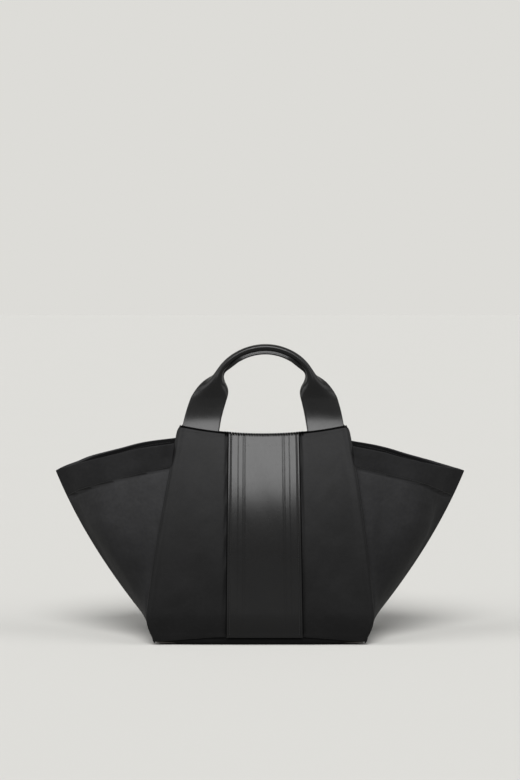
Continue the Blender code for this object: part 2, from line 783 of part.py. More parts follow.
def make_zip_pocket(lining, tape, metal, cloth):
    frame = wall_frame("zip_place", BACK, ZIP_HEIGHT, LINING_INSET + LINING_CLOTH / 2)
    make_zip_half("zip_tape_upper", 1, frame, tape)
    make_zip_half("zip_tape_lower", -1, frame, tape)
    slider_place = make_slider(frame, metal)
    make_pull(slider_place, metal)
    slot_x = ZIP_LENGTH / 2 + SLOT_CLEARANCE
    slot_z = ZIP_SPLIT / 2 + ZIP_TAPE_WIDTH + SLOT_CLEARANCE
    low, high = (-slot_x, -CUT_OVERRUN, -slot_z), (slot_x, CUT_OVERRUN, slot_z)
    combine(lining, "DIFFERENCE", block("zip_slot", low, high, cloth, frame))
    make_pocket_bag(cloth)


def main():
    clear_scene()
    cloth = material("cloth", (0.018, 0.018, 0.018), 0.85)
    leather = material("leather", (0.020, 0.020, 0.021), 0.42)
    facing_cloth = material("facing_cloth", (0.016, 0.016, 0.016), 0.90)
    lining_cloth = material("lining_cloth", (0.030, 0.030, 0.032), 0.70)
    board = material("board", (0.110, 0.100, 0.090), 0.90)
    cord = material("cord", (0.180, 0.170, 0.150), 0.95)
    tape = material("zip_tape", (0.015, 0.015, 0.015), 0.80)
    metal = material("dark_metal", (0.140, 0.140, 0.145), 0.30, 1.0)

    make_base_panel(cloth)
    make_base_board(board)
    make_panel("front_panel", FRONT, cloth)
    make_panel("back_panel", BACK, cloth)
    for hand_name, hand in (("left", LEFT), ("right", RIGHT)):
        make_gusset(f"{hand_name}_front_gusset", hand, FRONT, cloth)
        make_gusset(f"{hand_name}_back_gusset", hand, BACK, cloth)
        make_wing_facing(f"{hand_name}_wing_facing", hand, facing_cloth)
    make_front_band(leather)
    lining = make_lining(lining_cloth)
    for side_name, side in (("front", FRONT), ("back", BACK)):
        make_panel_facing(f"{side_name}_facing", side, facing_cloth)
        make_handle(f"{side_name}_handle", side, leather)
        make_handle_core(f"{side_name}_handle_core", side, cord)
        make_tab(f"{side_name}_left_tab", LEFT, side, leather)
        make_tab(f"{side_name}_right_tab", RIGHT, side, leather)
    make_snap(metal)
    make_zip_pocket(lining, tape, metal, lining_cloth)


main()
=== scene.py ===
"""Dresses the winged shopper bag: sewn cloth, leather band and handles, lining, zip, stitching and stage."""

import math

import bmesh
import bpy
import numpy as np
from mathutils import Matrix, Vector, noise


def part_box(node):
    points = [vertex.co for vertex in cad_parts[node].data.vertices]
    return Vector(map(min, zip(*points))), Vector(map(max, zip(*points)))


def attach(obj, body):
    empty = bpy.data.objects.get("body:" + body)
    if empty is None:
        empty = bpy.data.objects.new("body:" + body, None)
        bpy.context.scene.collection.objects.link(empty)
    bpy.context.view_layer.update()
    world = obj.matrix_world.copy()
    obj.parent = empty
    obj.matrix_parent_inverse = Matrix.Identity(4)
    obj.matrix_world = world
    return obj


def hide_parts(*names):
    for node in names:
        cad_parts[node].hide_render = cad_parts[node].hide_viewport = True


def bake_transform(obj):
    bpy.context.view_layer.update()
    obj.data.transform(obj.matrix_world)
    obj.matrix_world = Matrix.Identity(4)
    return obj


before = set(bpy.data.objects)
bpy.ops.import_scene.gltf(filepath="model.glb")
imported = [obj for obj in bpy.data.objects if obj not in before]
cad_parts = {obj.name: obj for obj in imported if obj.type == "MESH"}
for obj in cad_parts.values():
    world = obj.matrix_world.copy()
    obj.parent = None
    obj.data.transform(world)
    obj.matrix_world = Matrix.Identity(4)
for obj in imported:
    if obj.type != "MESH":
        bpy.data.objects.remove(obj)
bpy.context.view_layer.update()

bl_info = {
    "name": "Winged shopper bag",
    "version": (1, 0, 0),
    "blender": (4, 5, 0),
    "location": "3D view > Sidebar > Shopper bag",
    "description": "Builds a cloth shopper bag with folded wings, a leather band and rolled handles",
    "category": "Add Mesh",
}

FRONT, BACK = -1, 1
LEFT, RIGHT = -1, 1
SIDES = (("front", FRONT), ("back", BACK))
HANDS = (("left", LEFT), ("right", RIGHT))

# Body outline, close to the solids'
FOOT_WIDTH, FOOT_DEPTH = 0.222, 0.130
BASE_SEAM_HEIGHT, BASE_SEAM_WIDTH, BASE_SEAM_DEPTH = 0.0085, 0.231, 0.141
BELLY_HEIGHT, BELLY_WIDTH, BELLY_DEPTH = 0.025, 0.2455, 0.150
PANEL_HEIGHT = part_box("front_panel")[1][2]
PANEL_CORNER_RADIUS, PANEL_CORNER_FOOT, CORNER_LIFT = 0.005, 0.0036, 0.0026
MOUTH_WIDTH, MOUTH_DEPTH, MOUTH_DIP, BACK_RIM_DROP = 0.1835, 0.050, 0.0094, 0.0034
SIDE_SEAM_BULGE, PANEL_LEAN_BULGE, FRONT_BOW = 0.004, 0.016, 0.004
WING_SPAN, WING_TIP_HEIGHT, WING_ROOT_HEIGHT = 0.4535, 0.1835, 0.2140
WING_TOP_CROWN, WING_EDGE_BULGE, WING_BOW = 0.0015, 0.008, 0.020
WING_ROOT_RISE, WING_TOP_FLAT = 0.0030, 0.0034
FOLD_START_HEIGHT, FOLD_START_WIDTH, BASE_END_BOW = 0.020, 0.252, 0.002
HEM_HEIGHT, HEM_SEAM_RISE, HEM_ROOT_RISE = 0.032, 0.0010, 0.0052
FOLD_SOFTNESS, BELLY_SOFTNESS = 0.0005, 0.009
LEAN, LEAN_HEIGHT, RIM_DROOP, ARCH_LEAN = 0.0036, 0.215, 0.0012, 0.0024

# Layers, counted inwards from the outer face
CLOTH, LEATHER, FACING_CLOTH, LINING_CLOTH = 0.0018, 0.0014, 0.0010, 0.0006
LAYER_GAP = 0.0003
LINING_INSET = CLOTH + LEATHER + 2 * LAYER_GAP
BOARD = 0.0020
EDGE_TURNS = tuple(math.radians(a) for a in (0, 25, 50, 90))

# Soft folds of each cloth: how wide and how high one is, with the lining's widths as shares of the way across
BROAD_FOLD, SLANTED_FOLD, SMALL_FOLD = (0.085, 0.110), (0.030, 0.130), (0.014, 0.019)
WING_BROAD_FOLD, WING_DRAWN_FOLD, WING_SMALL_FOLD = (0.060, 0.085), (0.022, 0.120), (0.015, 0.020)
LINING_FOLD, LINING_SMALL_FOLD, HANDLE_FOLD = (0.35, 0.16), (0.9, 0.05), (0.016, 0.013)
SMALL_FOLD_START, SMALL_FOLD_EASE = 0.046, 0.010

# Forms of the outer cloth: their depths, the middle and width of the bells that they follow, and their runs
PANEL_BREAK, PANEL_BREAK_BELL = 0.0023, (0.162, 0.056)
BASE_ROLL, BASE_ROLL_BELL = 0.0007, (BASE_SEAM_HEIGHT + 0.0016, 0.0016)
SEAM_RIDGE_BELL = (0.0026, 0.0030)
HEM_CREASE, HEM_CREASE_BELL, HEM_STEP_RUN = 0.0010, (-0.0003, 0.0011), 0.0016
ROOT_DENT, ROOT_DENT_BELL, ROOT_DENT_FOLD = 0.0012, (0.020, 0.026), (0.018, 0.012)
ROOT_DENT_FOOT_RUN, ROOT_DENT_HEAD_RUN = 0.008, 0.010
SEAM_HOLD, FOLD_HOLD, FOOT_HOLD, FOLD_RUN = 0.018, 0.022, 0.07, 0.012
ROOT_TILT, ROOT_TILT_BELL, ROOT_TILT_RUN = 0.0130, (0.016, 0.026), 0.030
SEAM_CREASE, SEAM_CREASE_BELL, SEAM_CREASE_RUN = 0.0012, (0.0045, 0.0035), 0.05
WING_SAG, WING_SAG_FOOT, WING_SAG_RISE = 0.0050, 0.030, 1.4
WING_FOLD, WING_FOLD_WIDTH, WING_FOLD_BELL = 0.0020, 0.008, (0.140, 0.045)
WING_FOLD_PLACES, WING_FOLD_HEIGHTS, LEFT_FOLD_SHIFT = (0.012, 0.034), (0.09, 0.185), 0.004

# Rim, hem and facings, with spans as shares of the rim
RIM_STITCH_DROP, HEM_STITCH_RISE, HEM_STITCH_SPAN = 0.0032, 0.0022, (0.03, 0.975)
RIM_STITCH_SPANS = {FRONT: ((0.02, 0.285), (0.715, 0.98)), BACK: ((0.02, 0.98),)}
# Near-black cord along the rim: a raised edge whose colour is painted shadow line.
RIM_SHADOW_CORD_SPANS, RIM_SHADOW_CORD_RADII = ((0.012, 0.31), (0.312, 0.688), (0.69, 0.988)), (0.0014, 0.0008, 0.0014)
SEAM_ROLL_INSET, SEAM_ROLL_RADIUS, SEAM_ROLL_FOOT, SEAM_ROLL_HEAD = 0.0009, 0.0016, 0.0020, 0.0030
FACING_DROP, FACING_TOUCH, FACING_RUN, STRAP_RUN = 0.0006, CLOTH + 0.00005, 0.007, 0.006
PANEL_FACING_SPANS, WING_FACING_SPANS = ((0.02, 0.98),), ((0.02, 0.485), (0.515, 0.98))

# Leather band
BAND_TOP_WIDTH, BAND_BASE_WIDTH, BAND_LEATHER, BAND_RISE = 0.0765, 0.0820, 0.0012, 0.0004
BAND_OFFSET = (0.0050, 0.0040)
BAND_LINES, BAND_LINE_DEPTH, BAND_LINE_WIDTH = (0.0108, 0.0161, 0.0181), 0.00026, 0.00026
BAND_STITCH_INSET, BAND_TRENCH, BAND_TRENCH_WIDTH = 0.0030, 0.00046, 0.0006
BAND_LIP, BAND_LIP_WIDTH, BAND_LIP_RUN = 0.00035, 0.0020, 0.0006
BAND_GROOVE, BAND_GROOVE_INSET, BAND_GROOVE_WIDTH = 0.0034, 0.0008, 0.0011
BAND_STITCH_SPAN, BAND_TOP_ROW, BAND_TOP_SPAN = (0.01, 0.985), 0.9925, (0.02, 0.98)
# Near-black cords along the band's edges, as painted shadow of the gap between band and cloth.
BAND_SHADOW_CORD_RADIUS, BAND_SHADOW_CORD_DEPTH, BAND_SHADOW_CORD_SPAN = 0.0008, 0.8 * BAND_LEATHER, (0.004, 0.985)
OVERCAST_PITCH, OVERCAST_RUN, OVERCAST_RADIUS = 0.0029, 1.16 * BAND_TOP_WIDTH, 0.0008
OVERCAST_SLANT, OVERCAST_REACH, OVERCAST_RISE, OVERCAST_LEG = 0.0006, 0.0020, 0.0014, 0.0008
OVERCAST_INSET = 0.0004

# Handles
HANDLE_SPACING, HANDLE_WIDTH, HINGE_HEIGHT, HANDLE_RISE = 0.1347, 0.0406, 0.2380, 0.0815
HANDLE_INSET = CLOTH + LAYER_GAP + LEATHER / 2
HANDLE_LEAN, STRAP_SLOPE = math.radians(9), math.radians(14)
SQUARE_START, SQUARE_LENGTH = 0.0200, 0.0700
ROLL_START, ROLL_LENGTH, ROLL_HASTE = 0.0212, 0.0422, 1.1
INNER_CURL, OUTER_CURL, EDGE_CURL = (2.50, 3.27), (1.42, 1.45), 0.75
CURL_SHIFT, CURL_PLACE, CURL_SPREAD = -0.0021, 0.042, 0.014
TURN_START, TURN_LENGTH = 0.0449, 0.0440
GRIP_RADIUS, GRIP_FLANGE, GRIP_NECK_ANGLE, GRIP_SPLAY = 0.0030, 0.0041, math.radians(50), math.radians(16)
TAB_DEPTH, TAB_SPREAD, TAB_HEAD, TAB_STRETCH, TAB_SLACK_RUN = 0.0370, 0.0055, 0.0010, 0.95, 0.012
STRAP_PROBE, STRAP_BEND_HEIGHT = 0.001, 0.026
STRAP_STEPS, CORE_ROWS, GRIP_STITCH_ROWS = 60, 60, 44
ROW_RUNS = ((0.002 - TAB_DEPTH, 0.0033, 11), (0.0, 0.0018, 18), (0.0324, 0.0010, 40))
ARCH_ROWS_START, ARCH_ROWS = 0.0734, 34
BEND_ROWS, BEND_ROUNDS = range(6, 26), 22
GRIP_STITCH_PLACE, HANDLE_WAVE = 0.87, 0.00010

# Lining, pocket and zip
LINING_LEVELS, WING_STATIONS, PANEL_STATIONS = 46, 14, 44
POCKET_WIDTH, POCKET_DEPTH, POCKET_CLOTH = 0.160, 0.090, 0.0010
ZIP_HEIGHT, ZIP_LENGTH, ZIP_SPLIT, ZIP_TAPE_WIDTH = 0.158, 0.140, 0.0012, 0.0036
SLIDER_HALF_WIDTH, SLOT_CLEARANCE, SLOT_STITCH_MARGIN, WALL_PROBE = 0.0040, 0.0004, 0.0030, 0.009
COIL_PITCH, COIL_HEIGHT, COIL_REACH, COIL_RADIUS = 0.0012, 0.0012, 0.0016, 0.00036
COIL_OVERLAP, COIL_SINK, COIL_SLANT, SLOT_STITCH_RISE = 0.0006, 0.0001, 0.0003, 0.0001

# Length and number of cells across and up each sheet, and extra places across a wing next to its fold
PANEL_CELLS, WING_CELLS = ((0.21, 96), (0.226, 96)), ((0.22, 120), (0.2, 110))
BAND_CELLS = (0.078, 200), (0.226, 110)
FACING_CELLS, WING_FACING_CELLS = ((0.18, 60), (0.05, 24)), ((0.22, 90), (0.032, 18))
POCKET_CELLS, TAPE_CELLS = ((POCKET_WIDTH, 40), (POCKET_DEPTH, 24)), ((ZIP_LENGTH, 70), (ZIP_TAPE_WIDTH, 8))
NEAR_FOLD = tuple(0.5 + k * 0.0022 for k in (-3, -2, -1, 1, 2, 3))

# The base tray: steps of its turned-up edge and of its flat, and what its edge is set in by
EDGE_STEPS, FLAT_STEPS, SUNK_STEPS = 8, 10, 4
TRAY_GAP, TRAY_FLARE = 0.0002, 0.0012

# One stitch as rings of thread: place along it, size and lift
STITCH_RINGS = ((-0.50, 0.25, -1.1), (-0.42, 0.75, -0.35), (-0.15, 1.0, 0.25),
                (0.15, 1.0, 0.25), (0.42, 0.75, -0.35), (0.50, 0.25, -1.1))
STITCH_SIDES = 6


# Settings that a user would change

class BagSizes(bpy.types.PropertyGroup):
    stitch_length: bpy.props.FloatProperty(
        name="Stitch length", description="Length of one stitch", default=0.0013, unit="LENGTH"
    )
    stitch_gap: bpy.props.FloatProperty(
        name="Stitch gap", description="Gap between two stitches", default=0.0007, unit="LENGTH"
    )
    thread: bpy.props.FloatProperty(
        name="Thread", description="Thickness of the sewing thread", default=0.00060, unit="LENGTH"
    )
    seam_ridge: bpy.props.FloatProperty(
        name="Side seam ridge", description="How far a side seam stands proud", default=0.0012, unit="LENGTH"
    )
    cloth_slack: bpy.props.FloatProperty(
        name="Cloth slack", description="How far the outer cloth sags between its seams", default=0.0016,
        unit="LENGTH",
    )
    lining_slack: bpy.props.FloatProperty(
        name="Lining slack", description="Depth of the folds in the lining", default=0.0030, unit="LENGTH"
    )
    hem_step: bpy.props.FloatProperty(
        name="Hem step", description="How far the doubled hem of a wing stands proud", default=0.0008,
        unit="LENGTH",
    )


def colour(name, description, default):
    return bpy.props.FloatVectorProperty(
        name=name, description=description, default=(*default, 1.0), size=4, min=0.0, max=1.0, subtype="COLOR"
    )


class BagColours(bpy.types.PropertyGroup):
    cloth: colour("Cloth", "Outer cloth", (0.0074, 0.0074, 0.0077))
    # Darker than the outer cloth, as painted shade inside the mouth.
    facing: colour("Facing", "Cloth inside the mouth", (0.0050, 0.0050, 0.0052))
    lining: colour("Lining", "Lining and pocket", (0.0260, 0.0260, 0.0280))
    leather: colour("Leather", "Band and handles", (0.0034, 0.0034, 0.0036))
    thread: colour("Thread", "Sewing thread", (0.0110, 0.0110, 0.0113))
    metal: colour("Metal", "Snap and zip slider", (0.1500, 0.1500, 0.1560))
    tape: colour("Zip tape", "Zip tape and coil", (0.0140, 0.0140, 0.0146))
    board: colour("Board", "Stiffening board", (0.1100, 0.1000, 0.0900))
    cord: colour("Cord", "Core of the handles", (0.1800, 0.1700, 0.1500))


class BagStage(bpy.types.PropertyGroup):
    camera_distance: bpy.props.FloatProperty(
        name="Camera distance", description="From the camera to the bag", default=2.6, unit="LENGTH"
    )
    camera_elevation: bpy.props.FloatProperty(
        name="Camera elevation", description="How far above level the camera stands",
        default=math.radians(2.5), subtype="ANGLE",
    )
    aim_height: bpy.props.FloatProperty(
        name="Aim height", description="Height that the camera looks at", default=0.2718, unit="LENGTH"
    )
    lens: bpy.props.FloatProperty(name="Lens", description="Focal length in millimetres", default=109.1)
    lamp: bpy.props.FloatProperty(name="Lamp", description="Strength of the main lamp", default=3.35)
    side_lamp: bpy.props.FloatProperty(
        name="Side lamp", description="Strength of the lamp on the left; the right one is weaker",
        default=1.20,
    )
    fill: bpy.props.FloatProperty(
        name="Fill", description="Strength of the light from all round", default=0.16
    )
    backdrop: colour("Backdrop", "Plain backdrop behind the bag", (0.723, 0.716, 0.686))
    floor: colour("Floor", "Plain floor under the bag", (0.568, 0.563, 0.540))


# Shape of the bag at each height

def mix(start, end, share):
    return start + (end - start) * share


def share_of(value, start, end):
    return (value - start) / (end - start)


def clamped(share):
    return min(max(share, 0.0), 1.0)


def bulged(start, end, bulge, share):
    return mix(start, end, share) + 4 * bulge * share * (1 - share)


def eased(share):
    held = clamped(share)
    return held * held * (3 - 2 * held)


def turned_up(foot, seam, z):
    down = share_of(z, BASE_SEAM_HEIGHT, 0)
    return mix(foot, seam, math.sqrt(max(0.0, 1 - down * down)))


def half_size(z, foot, seam, belly, mouth, bulge):
    if z < BASE_SEAM_HEIGHT:
        return turned_up(foot, seam, z) / 2
    if z < BELLY_HEIGHT:
        return mix(seam, belly, share_of(z, BASE_SEAM_HEIGHT, BELLY_HEIGHT)) / 2
    return bulged(belly, mouth, bulge, share_of(z, BELLY_HEIGHT, PANEL_HEIGHT)) / 2


def rounded(size, z):
    """The size averaged over a little height, so that the belly turns softly."""
    window = min(BELLY_SOFTNESS, max(0.0, z - BASE_SEAM_HEIGHT), max(0.0, PANEL_HEIGHT - z))
    return sum(size(z + step * window) for step in (-1, -0.5, 0, 0.5, 1)) / 5


def half_width(z):
    widths = (FOOT_WIDTH, BASE_SEAM_WIDTH, BELLY_WIDTH, MOUTH_WIDTH)
    return rounded(lambda h: half_size(h, *widths, SIDE_SEAM_BULGE), z)


def half_depth(z):
    depths = (FOOT_DEPTH, BASE_SEAM_DEPTH, BELLY_DEPTH, MOUTH_DEPTH)
    return rounded(lambda h: half_size(h, *depths, PANEL_LEAN_BULGE), z)


def sideways_lean(z):
    """The mouth and the handles stand a little to one side of the base."""
    return LEAN * eased(z / LEAN_HEIGHT)


def fold_reach(z):
    if z <= BASE_SEAM_HEIGHT:
        return half_width(z) + BASE_END_BOW
    if z <= FOLD_START_HEIGHT:
        up = share_of(z, BASE_SEAM_HEIGHT, FOLD_START_HEIGHT)
        return mix(BASE_SEAM_WIDTH / 2 + BASE_END_BOW, FOLD_START_WIDTH / 2, up)
    up = share_of(z, FOLD_START_HEIGHT, WING_TIP_HEIGHT)
    return bulged(FOLD_START_WIDTH / 2, WING_SPAN / 2, WING_EDGE_BULGE, up)


def panel_top(across):
    height = PANEL_HEIGHT - MOUTH_DIP * (1 - across * across)
    into_corner = PANEL_CORNER_RADIUS - (1 - abs(across)) * MOUTH_WIDTH / 2
    if into_corner > 0:
        height -= PANEL_CORNER_RADIUS - math.sqrt(max(0.0, PANEL_CORNER_RADIUS**2 - into_corner**2))
    return height


def rim_height(side, across):
    return panel_top(across) - (BACK_RIM_DROP * (1 - across**4) if side == BACK else 0.0)


def wing_top(out):
    return bulged(WING_ROOT_HEIGHT, WING_TIP_HEIGHT, WING_TOP_CROWN, out)


def wing_rim(hand, side, out):
    """A wing's top edge. The left one stands higher at its root, the right one is straighter."""
    own = WING_ROOT_RISE * (1 - out) if hand == LEFT else -4 * WING_TOP_FLAT * out * (1 - out)
    return wing_top(out) + own - (RIM_DROOP * (1 - out**4) if side == FRONT else 0.0)


def wing_hem(out):
    return wing_top(out) - HEM_HEIGHT


def hem_seam(out):
    """The seam line of a wing's hem, which is a little narrower at its root."""
    return wing_hem(out) + HEM_ROOT_RISE * (1 - out) ** 1.3 + HEM_SEAM_RISE


def corner_x(z, inset):
    width, depth, reach = half_width(z), half_depth(z), fold_reach(z) - half_width(z)
    run = math.hypot(reach, depth)
    return width - inset * depth / run + inset * (run - reach) / depth * reach / run


def panel_point(side, x, z, inset):
    bow = 0.0
    if side == FRONT:
        up = clamped(share_of(z, BASE_SEAM_HEIGHT, PANEL_HEIGHT))
        across = min(abs(x) / half_width(z), 1.0)
        bow = FRONT_BOW * math.sin(math.pi * up) * (1 - across * across)
    return Vector((x, side * (half_depth(z) + bow - inset), z))


def wing_point(hand, side, out, z, inset):
    width, depth, reach = half_width(z), half_depth(z), fold_reach(z) - half_width(z)
    run = math.hypot(reach, depth)
    start = inset * (run - reach) / depth
    end = (depth * run - inset * reach) / depth
    along = mix(start, end, out)
    bow = WING_BOW * math.sin(math.pi * out) ** 2 * eased(share_of(z, BELLY_HEIGHT, WING_TIP_HEIGHT))
    x = width + (bow - inset) * depth / run + along * reach / run
    y = depth + (bow - inset) * reach / run - along * depth / run
    soft_fold = (math.hypot(y, FOLD_SOFTNESS) - abs(y)) * reach / depth
    return Vector((hand * (x - soft_fold), side * y, z))


# How the cloth hangs between its seams

def ripple(across, up, fold, seed):
    """Smooth noise with folds as wide and as high as fold says."""
    return noise.noise(Vector((across / fold[0], up / fold[1], seed)))


def bell(value, middle, width):
    return math.exp(-(((value - middle) / width) ** 2))


def panel_slack(side, x, z):
    """How far a panel's cloth stands out: a ridge along each side seam, and a slack middle."""
    sizes = bpy.context.scene.bag_sizes
    across, up = abs(x) / half_width(z), share_of(z, BASE_SEAM_HEIGHT, PANEL_HEIGHT)
    held = max(0.0, 1 - across**4) * clamped(7 * up) * clamped(5 * (1 - up))
    beside_band = eased((abs(x) - SMALL_FOLD_START) / SMALL_FOLD_EASE)
    folds = (
        0.85 * ripple(x, z, BROAD_FOLD, 3.7 * side)
        + 0.40 * ripple(x + 0.35 * z, z, SLANTED_FOLD, 11.0 + side)
        + 0.22 * ripple(x - 0.2 * z, z + 0.1 * x, SMALL_FOLD, 17.0 + side) * beside_band
    )
    break_line = PANEL_BREAK * bell(z, *PANEL_BREAK_BELL) * (1 - across**6)
    ridge = sizes.seam_ridge * bell(half_width(z) - abs(x), *SEAM_RIDGE_BELL) * min(1.0, 30 * up)
    return sizes.cloth_slack * held * folds + break_line + ridge + BASE_ROLL * bell(z, *BASE_ROLL_BELL)


def wing_slack(hand, side, out, z):
    """How far a wing's cloth stands out: hem step, seam crease, dents by the root and soft folds."""
    sizes = bpy.context.scene.bag_sizes
    run = math.hypot(fold_reach(z) - half_width(z), half_depth(z))
    from_seam, from_fold, above = out * run, (1 - out) * run, z - hem_seam(out)
    held = min(1.0, from_seam / SEAM_HOLD) * min(1.0, from_fold / FOLD_HOLD)
    held *= clamped(share_of(z, BASE_SEAM_HEIGHT, FOOT_HOLD))
    folds = (
        ripple(from_seam + 0.3 * hand, z, WING_BROAD_FOLD, 21.0 + side)
        + 0.5 * ripple(from_seam - 0.3 * z, z, WING_DRAWN_FOLD, 31.0 + hand + 2 * side)
        + 0.22 * ripple(from_seam, z, WING_SMALL_FOLD, 37.0 + hand + side)
    )
    slack = sizes.cloth_slack * held * folds
    hem = sizes.hem_step * eased(above / HEM_STEP_RUN) - HEM_CREASE * bell(above, *HEM_CREASE_BELL)
    slack += eased(from_fold / FOLD_RUN) * hem
    dented = eased(above / ROOT_DENT_FOOT_RUN) * eased((wing_rim(hand, side, out) - z) / ROOT_DENT_HEAD_RUN)
    dented *= bell(from_seam, *ROOT_DENT_BELL) * ripple(from_seam, z, ROOT_DENT_FOLD, 41.0 + hand)
    slack -= ROOT_DENT * dented
    slack += ROOT_TILT * bell(from_seam, *ROOT_TILT_BELL) * max(0.0, above / ROOT_TILT_RUN)
    slack -= SEAM_CREASE * bell(from_seam, *SEAM_CREASE_BELL) * clamped(z / SEAM_CREASE_RUN)
    up = clamped(share_of(z, WING_SAG_FOOT, wing_hem(out)))
    slack += WING_SAG * math.sin(math.pi * out) * math.sin(math.pi * up**WING_SAG_RISE)
    fold_place = mix(*WING_FOLD_PLACES, share_of(z, *WING_FOLD_HEIGHTS))
    fold_place += LEFT_FOLD_SHIFT if hand == LEFT else 0.0
    return slack - WING_FOLD * bell(from_seam, fold_place, WING_FOLD_WIDTH) * bell(z, *WING_FOLD_BELL)


def shell_point(station, z, inset):
    """A point of a layer of the bag at a place round it, its inset counted from the outer face."""
    kind, hand, side, place = station
    if kind == "wing":
        point = wing_point(hand, side, place, z, inset - wing_slack(hand, side, place, z))
        point.x += sideways_lean(z) * (1 - place)
        return point
    x = place * corner_x(z, inset)
    point = panel_point(side, x, z, inset - panel_slack(side, x, z))
    point.x += sideways_lean(z)
    return point


# Sheets with rounded edges

def stations(length, count, radius):
    """Shares from 0 to 1, closer where an edge rounds over, and how full the sheet is at each."""
    near = [(radius * (1 - math.cos(a)) / length, math.sin(a)) for a in EDGE_TURNS]
    limit = near[-1][0] * 1.4
    middle = [(k / count, 1.0) for k in range(1, count) if limit < k / count < 1 - limit]
    return near + middle + [(1 - share, full) for share, full in reversed(near)]


def grid(cells, thickness):
    """Stations across and up a sheet."""
    return [stations(length, count, thickness / 2) for length, count in cells]


def add_piece(name, points, faces, material, slot, body, flats=None, replaced=()):
    """A mesh with its finish, body and replaced solids; flats is where its cloth was cut from."""
    mesh = bpy.data.meshes.new(name)
    mesh.from_pydata([tuple(p) for p in points], [], faces)
    if flats is not None:
        layer = mesh.uv_layers.new(name="cut")
        corners = np.empty(len(mesh.loops), dtype=np.int32)
        mesh.loops.foreach_get("vertex_index", corners)
        layer.uv.foreach_set("vector", np.asarray(flats, dtype=np.float32)[corners].ravel())
    shape = bmesh.new()
    shape.from_mesh(mesh)
    bmesh.ops.recalc_face_normals(shape, faces=shape.faces)
    shape.to_mesh(mesh)
    shape.free()
    mesh.shade_smooth()
    mesh.materials.append(material)
    piece = bpy.data.objects.new(name, mesh)
    bpy.context.scene.collection.objects.link(piece)
    if body:
        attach(piece, body)
    if replaced:
        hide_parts(*replaced)
    return piece


def flat_places(grid):
    """The cloth's own measure of a grid of points, in metres across and along."""
    grid = np.asarray(grid)
    across, along = np.zeros(grid.shape[:2]), np.zeros(grid.shape[:2])
    across[:, 1:] = np.cumsum(np.linalg.norm(np.diff(grid, axis=1), axis=2), axis=1)
    along[1:] = np.cumsum(np.linalg.norm(np.diff(grid, axis=0), axis=2), axis=0)
    across -= across[:, grid.shape[1] // 2][:, None]
    return np.stack([across, along], axis=2).reshape(-1, 2)


def two_faced(outer, inner, fullness):
    """Points, faces and cut places of a closed sheet between two grids that meet where fullness is 0."""
    rows, columns = len(outer), len(outer[0])
    full = [f for row in fullness for f in row]
    points, flats = [p for row in outer for p in row], list(flat_places(outer))
    inner_index = []
    for k, point in enumerate(p for row in inner for p in row):
        if full[k] == 0:
            inner_index.append(k)
        else:
            inner_index.append(len(points))
            points.append(point)
            flats.append(flats[k])
    faces = []
    for row in range(rows - 1):
        for column in range(columns - 1):
            a = row * columns + column
            quad = (a, a + 1, a + columns + 1, a + columns)
            faces.append(quad)
            back = tuple(inner_index[k] for k in reversed(quad))
            if set(back) != set(quad):
                faces.append(back)
    return points, faces, flats


def sewn_sheet(name, place, across, up, thickness, material, slot, replaced):
    """A soft sheet. place(u, v, depth) is its point at a depth under its outer face."""
    outer, inner, fullness = [], [], []
    for v, v_full in up:
        full_row = [u_full * v_full for _, u_full in across]
        outer.append([place(u, v, thickness / 2 * (1 - f)) for (u, _), f in zip(across, full_row)])
        inner.append([place(u, v, thickness / 2 * (1 + f)) for (u, _), f in zip(across, full_row)])
        fullness.append(full_row)
    points, faces, flats = two_faced(outer, inner, fullness)
    return add_piece(name, points, faces, material, slot, "bag", flats, replaced)


# Rolls and stitches, along tracks of (point, outward) pairs

def track_on(place, count, start=0.0, end=1.0):
    """Pairs of surface point and outward direction, where place(share, depth) is a point under the face."""
    track = []
    for k in range(count + 1):
        share = mix(start, end, k / count)
        surface = place(share, 0.0)
        track.append((surface, (place(share, -0.0005) - surface).normalized()))
    return track


def squared(outward, ahead):
    """Outward made square to the way ahead, and the direction beside both."""
    up = (outward - ahead * outward.dot(ahead)).normalized()
    return up, ahead.cross(up)


def ring_points(middle, up, sideways, sides):
    """Points round middle, as far off as up and sideways are long."""
    turns = [2 * math.pi * step / sides for step in range(sides)]
    return [middle + up * math.cos(turn) + sideways * math.sin(turn) for turn in turns]


def ring_faces(ring, after, count):
    """Quads between two rings of count points, each given by its first point's number."""
    pairs = [(k, (k + 1) % count) for k in range(count)]
    return [(ring + a, ring + b, after + b, after + a) for a, b in pairs]


def fan_faces(ring, middle, count):
    return [(ring + k, ring + (k + 1) % count, middle) for k in range(count)]


def roll_faces(first, rings, sides):
    """The faces of a roll of rings, with both ends closed."""
    starts = [first + ring * sides for ring in range(rings)]
    faces = [face for ring, after in zip(starts, starts[1:]) for face in ring_faces(ring, after, sides)]
    return faces + [tuple(range(start, start + sides)) for start in (starts[0], starts[-1])]


def tube(name, tracks, radii, material, slot, body="bag", sides=10, squash=1.0):
    """Round rolls along tracks, flattened by squash, with closed ends."""
    points, faces, flats = [], [], []
    for track, radius in zip(tracks, radii):
        faces += roll_faces(len(points), len(track), sides)
        places = [p for p, _ in track]
        length = 0.0
        for k, (place, outward) in enumerate(track):
            before, after = places[max(0, k - 1)], places[min(len(places) - 1, k + 1)]
            length += (place - before).length
            up, sideways = squared(outward, (after - before).normalized())
            end = min(k, len(track) - 1 - k)
            size = radius * (0.35 if end == 0 else 0.85 if end == 1 else 1.0)
            points += ring_points(place, up * size * squash, sideways * size, sides)
            flats += [(radius * 2 * math.pi * step / sides, length) for step in range(sides)]
    return add_piece(name, points, faces, material, slot, body, flats)


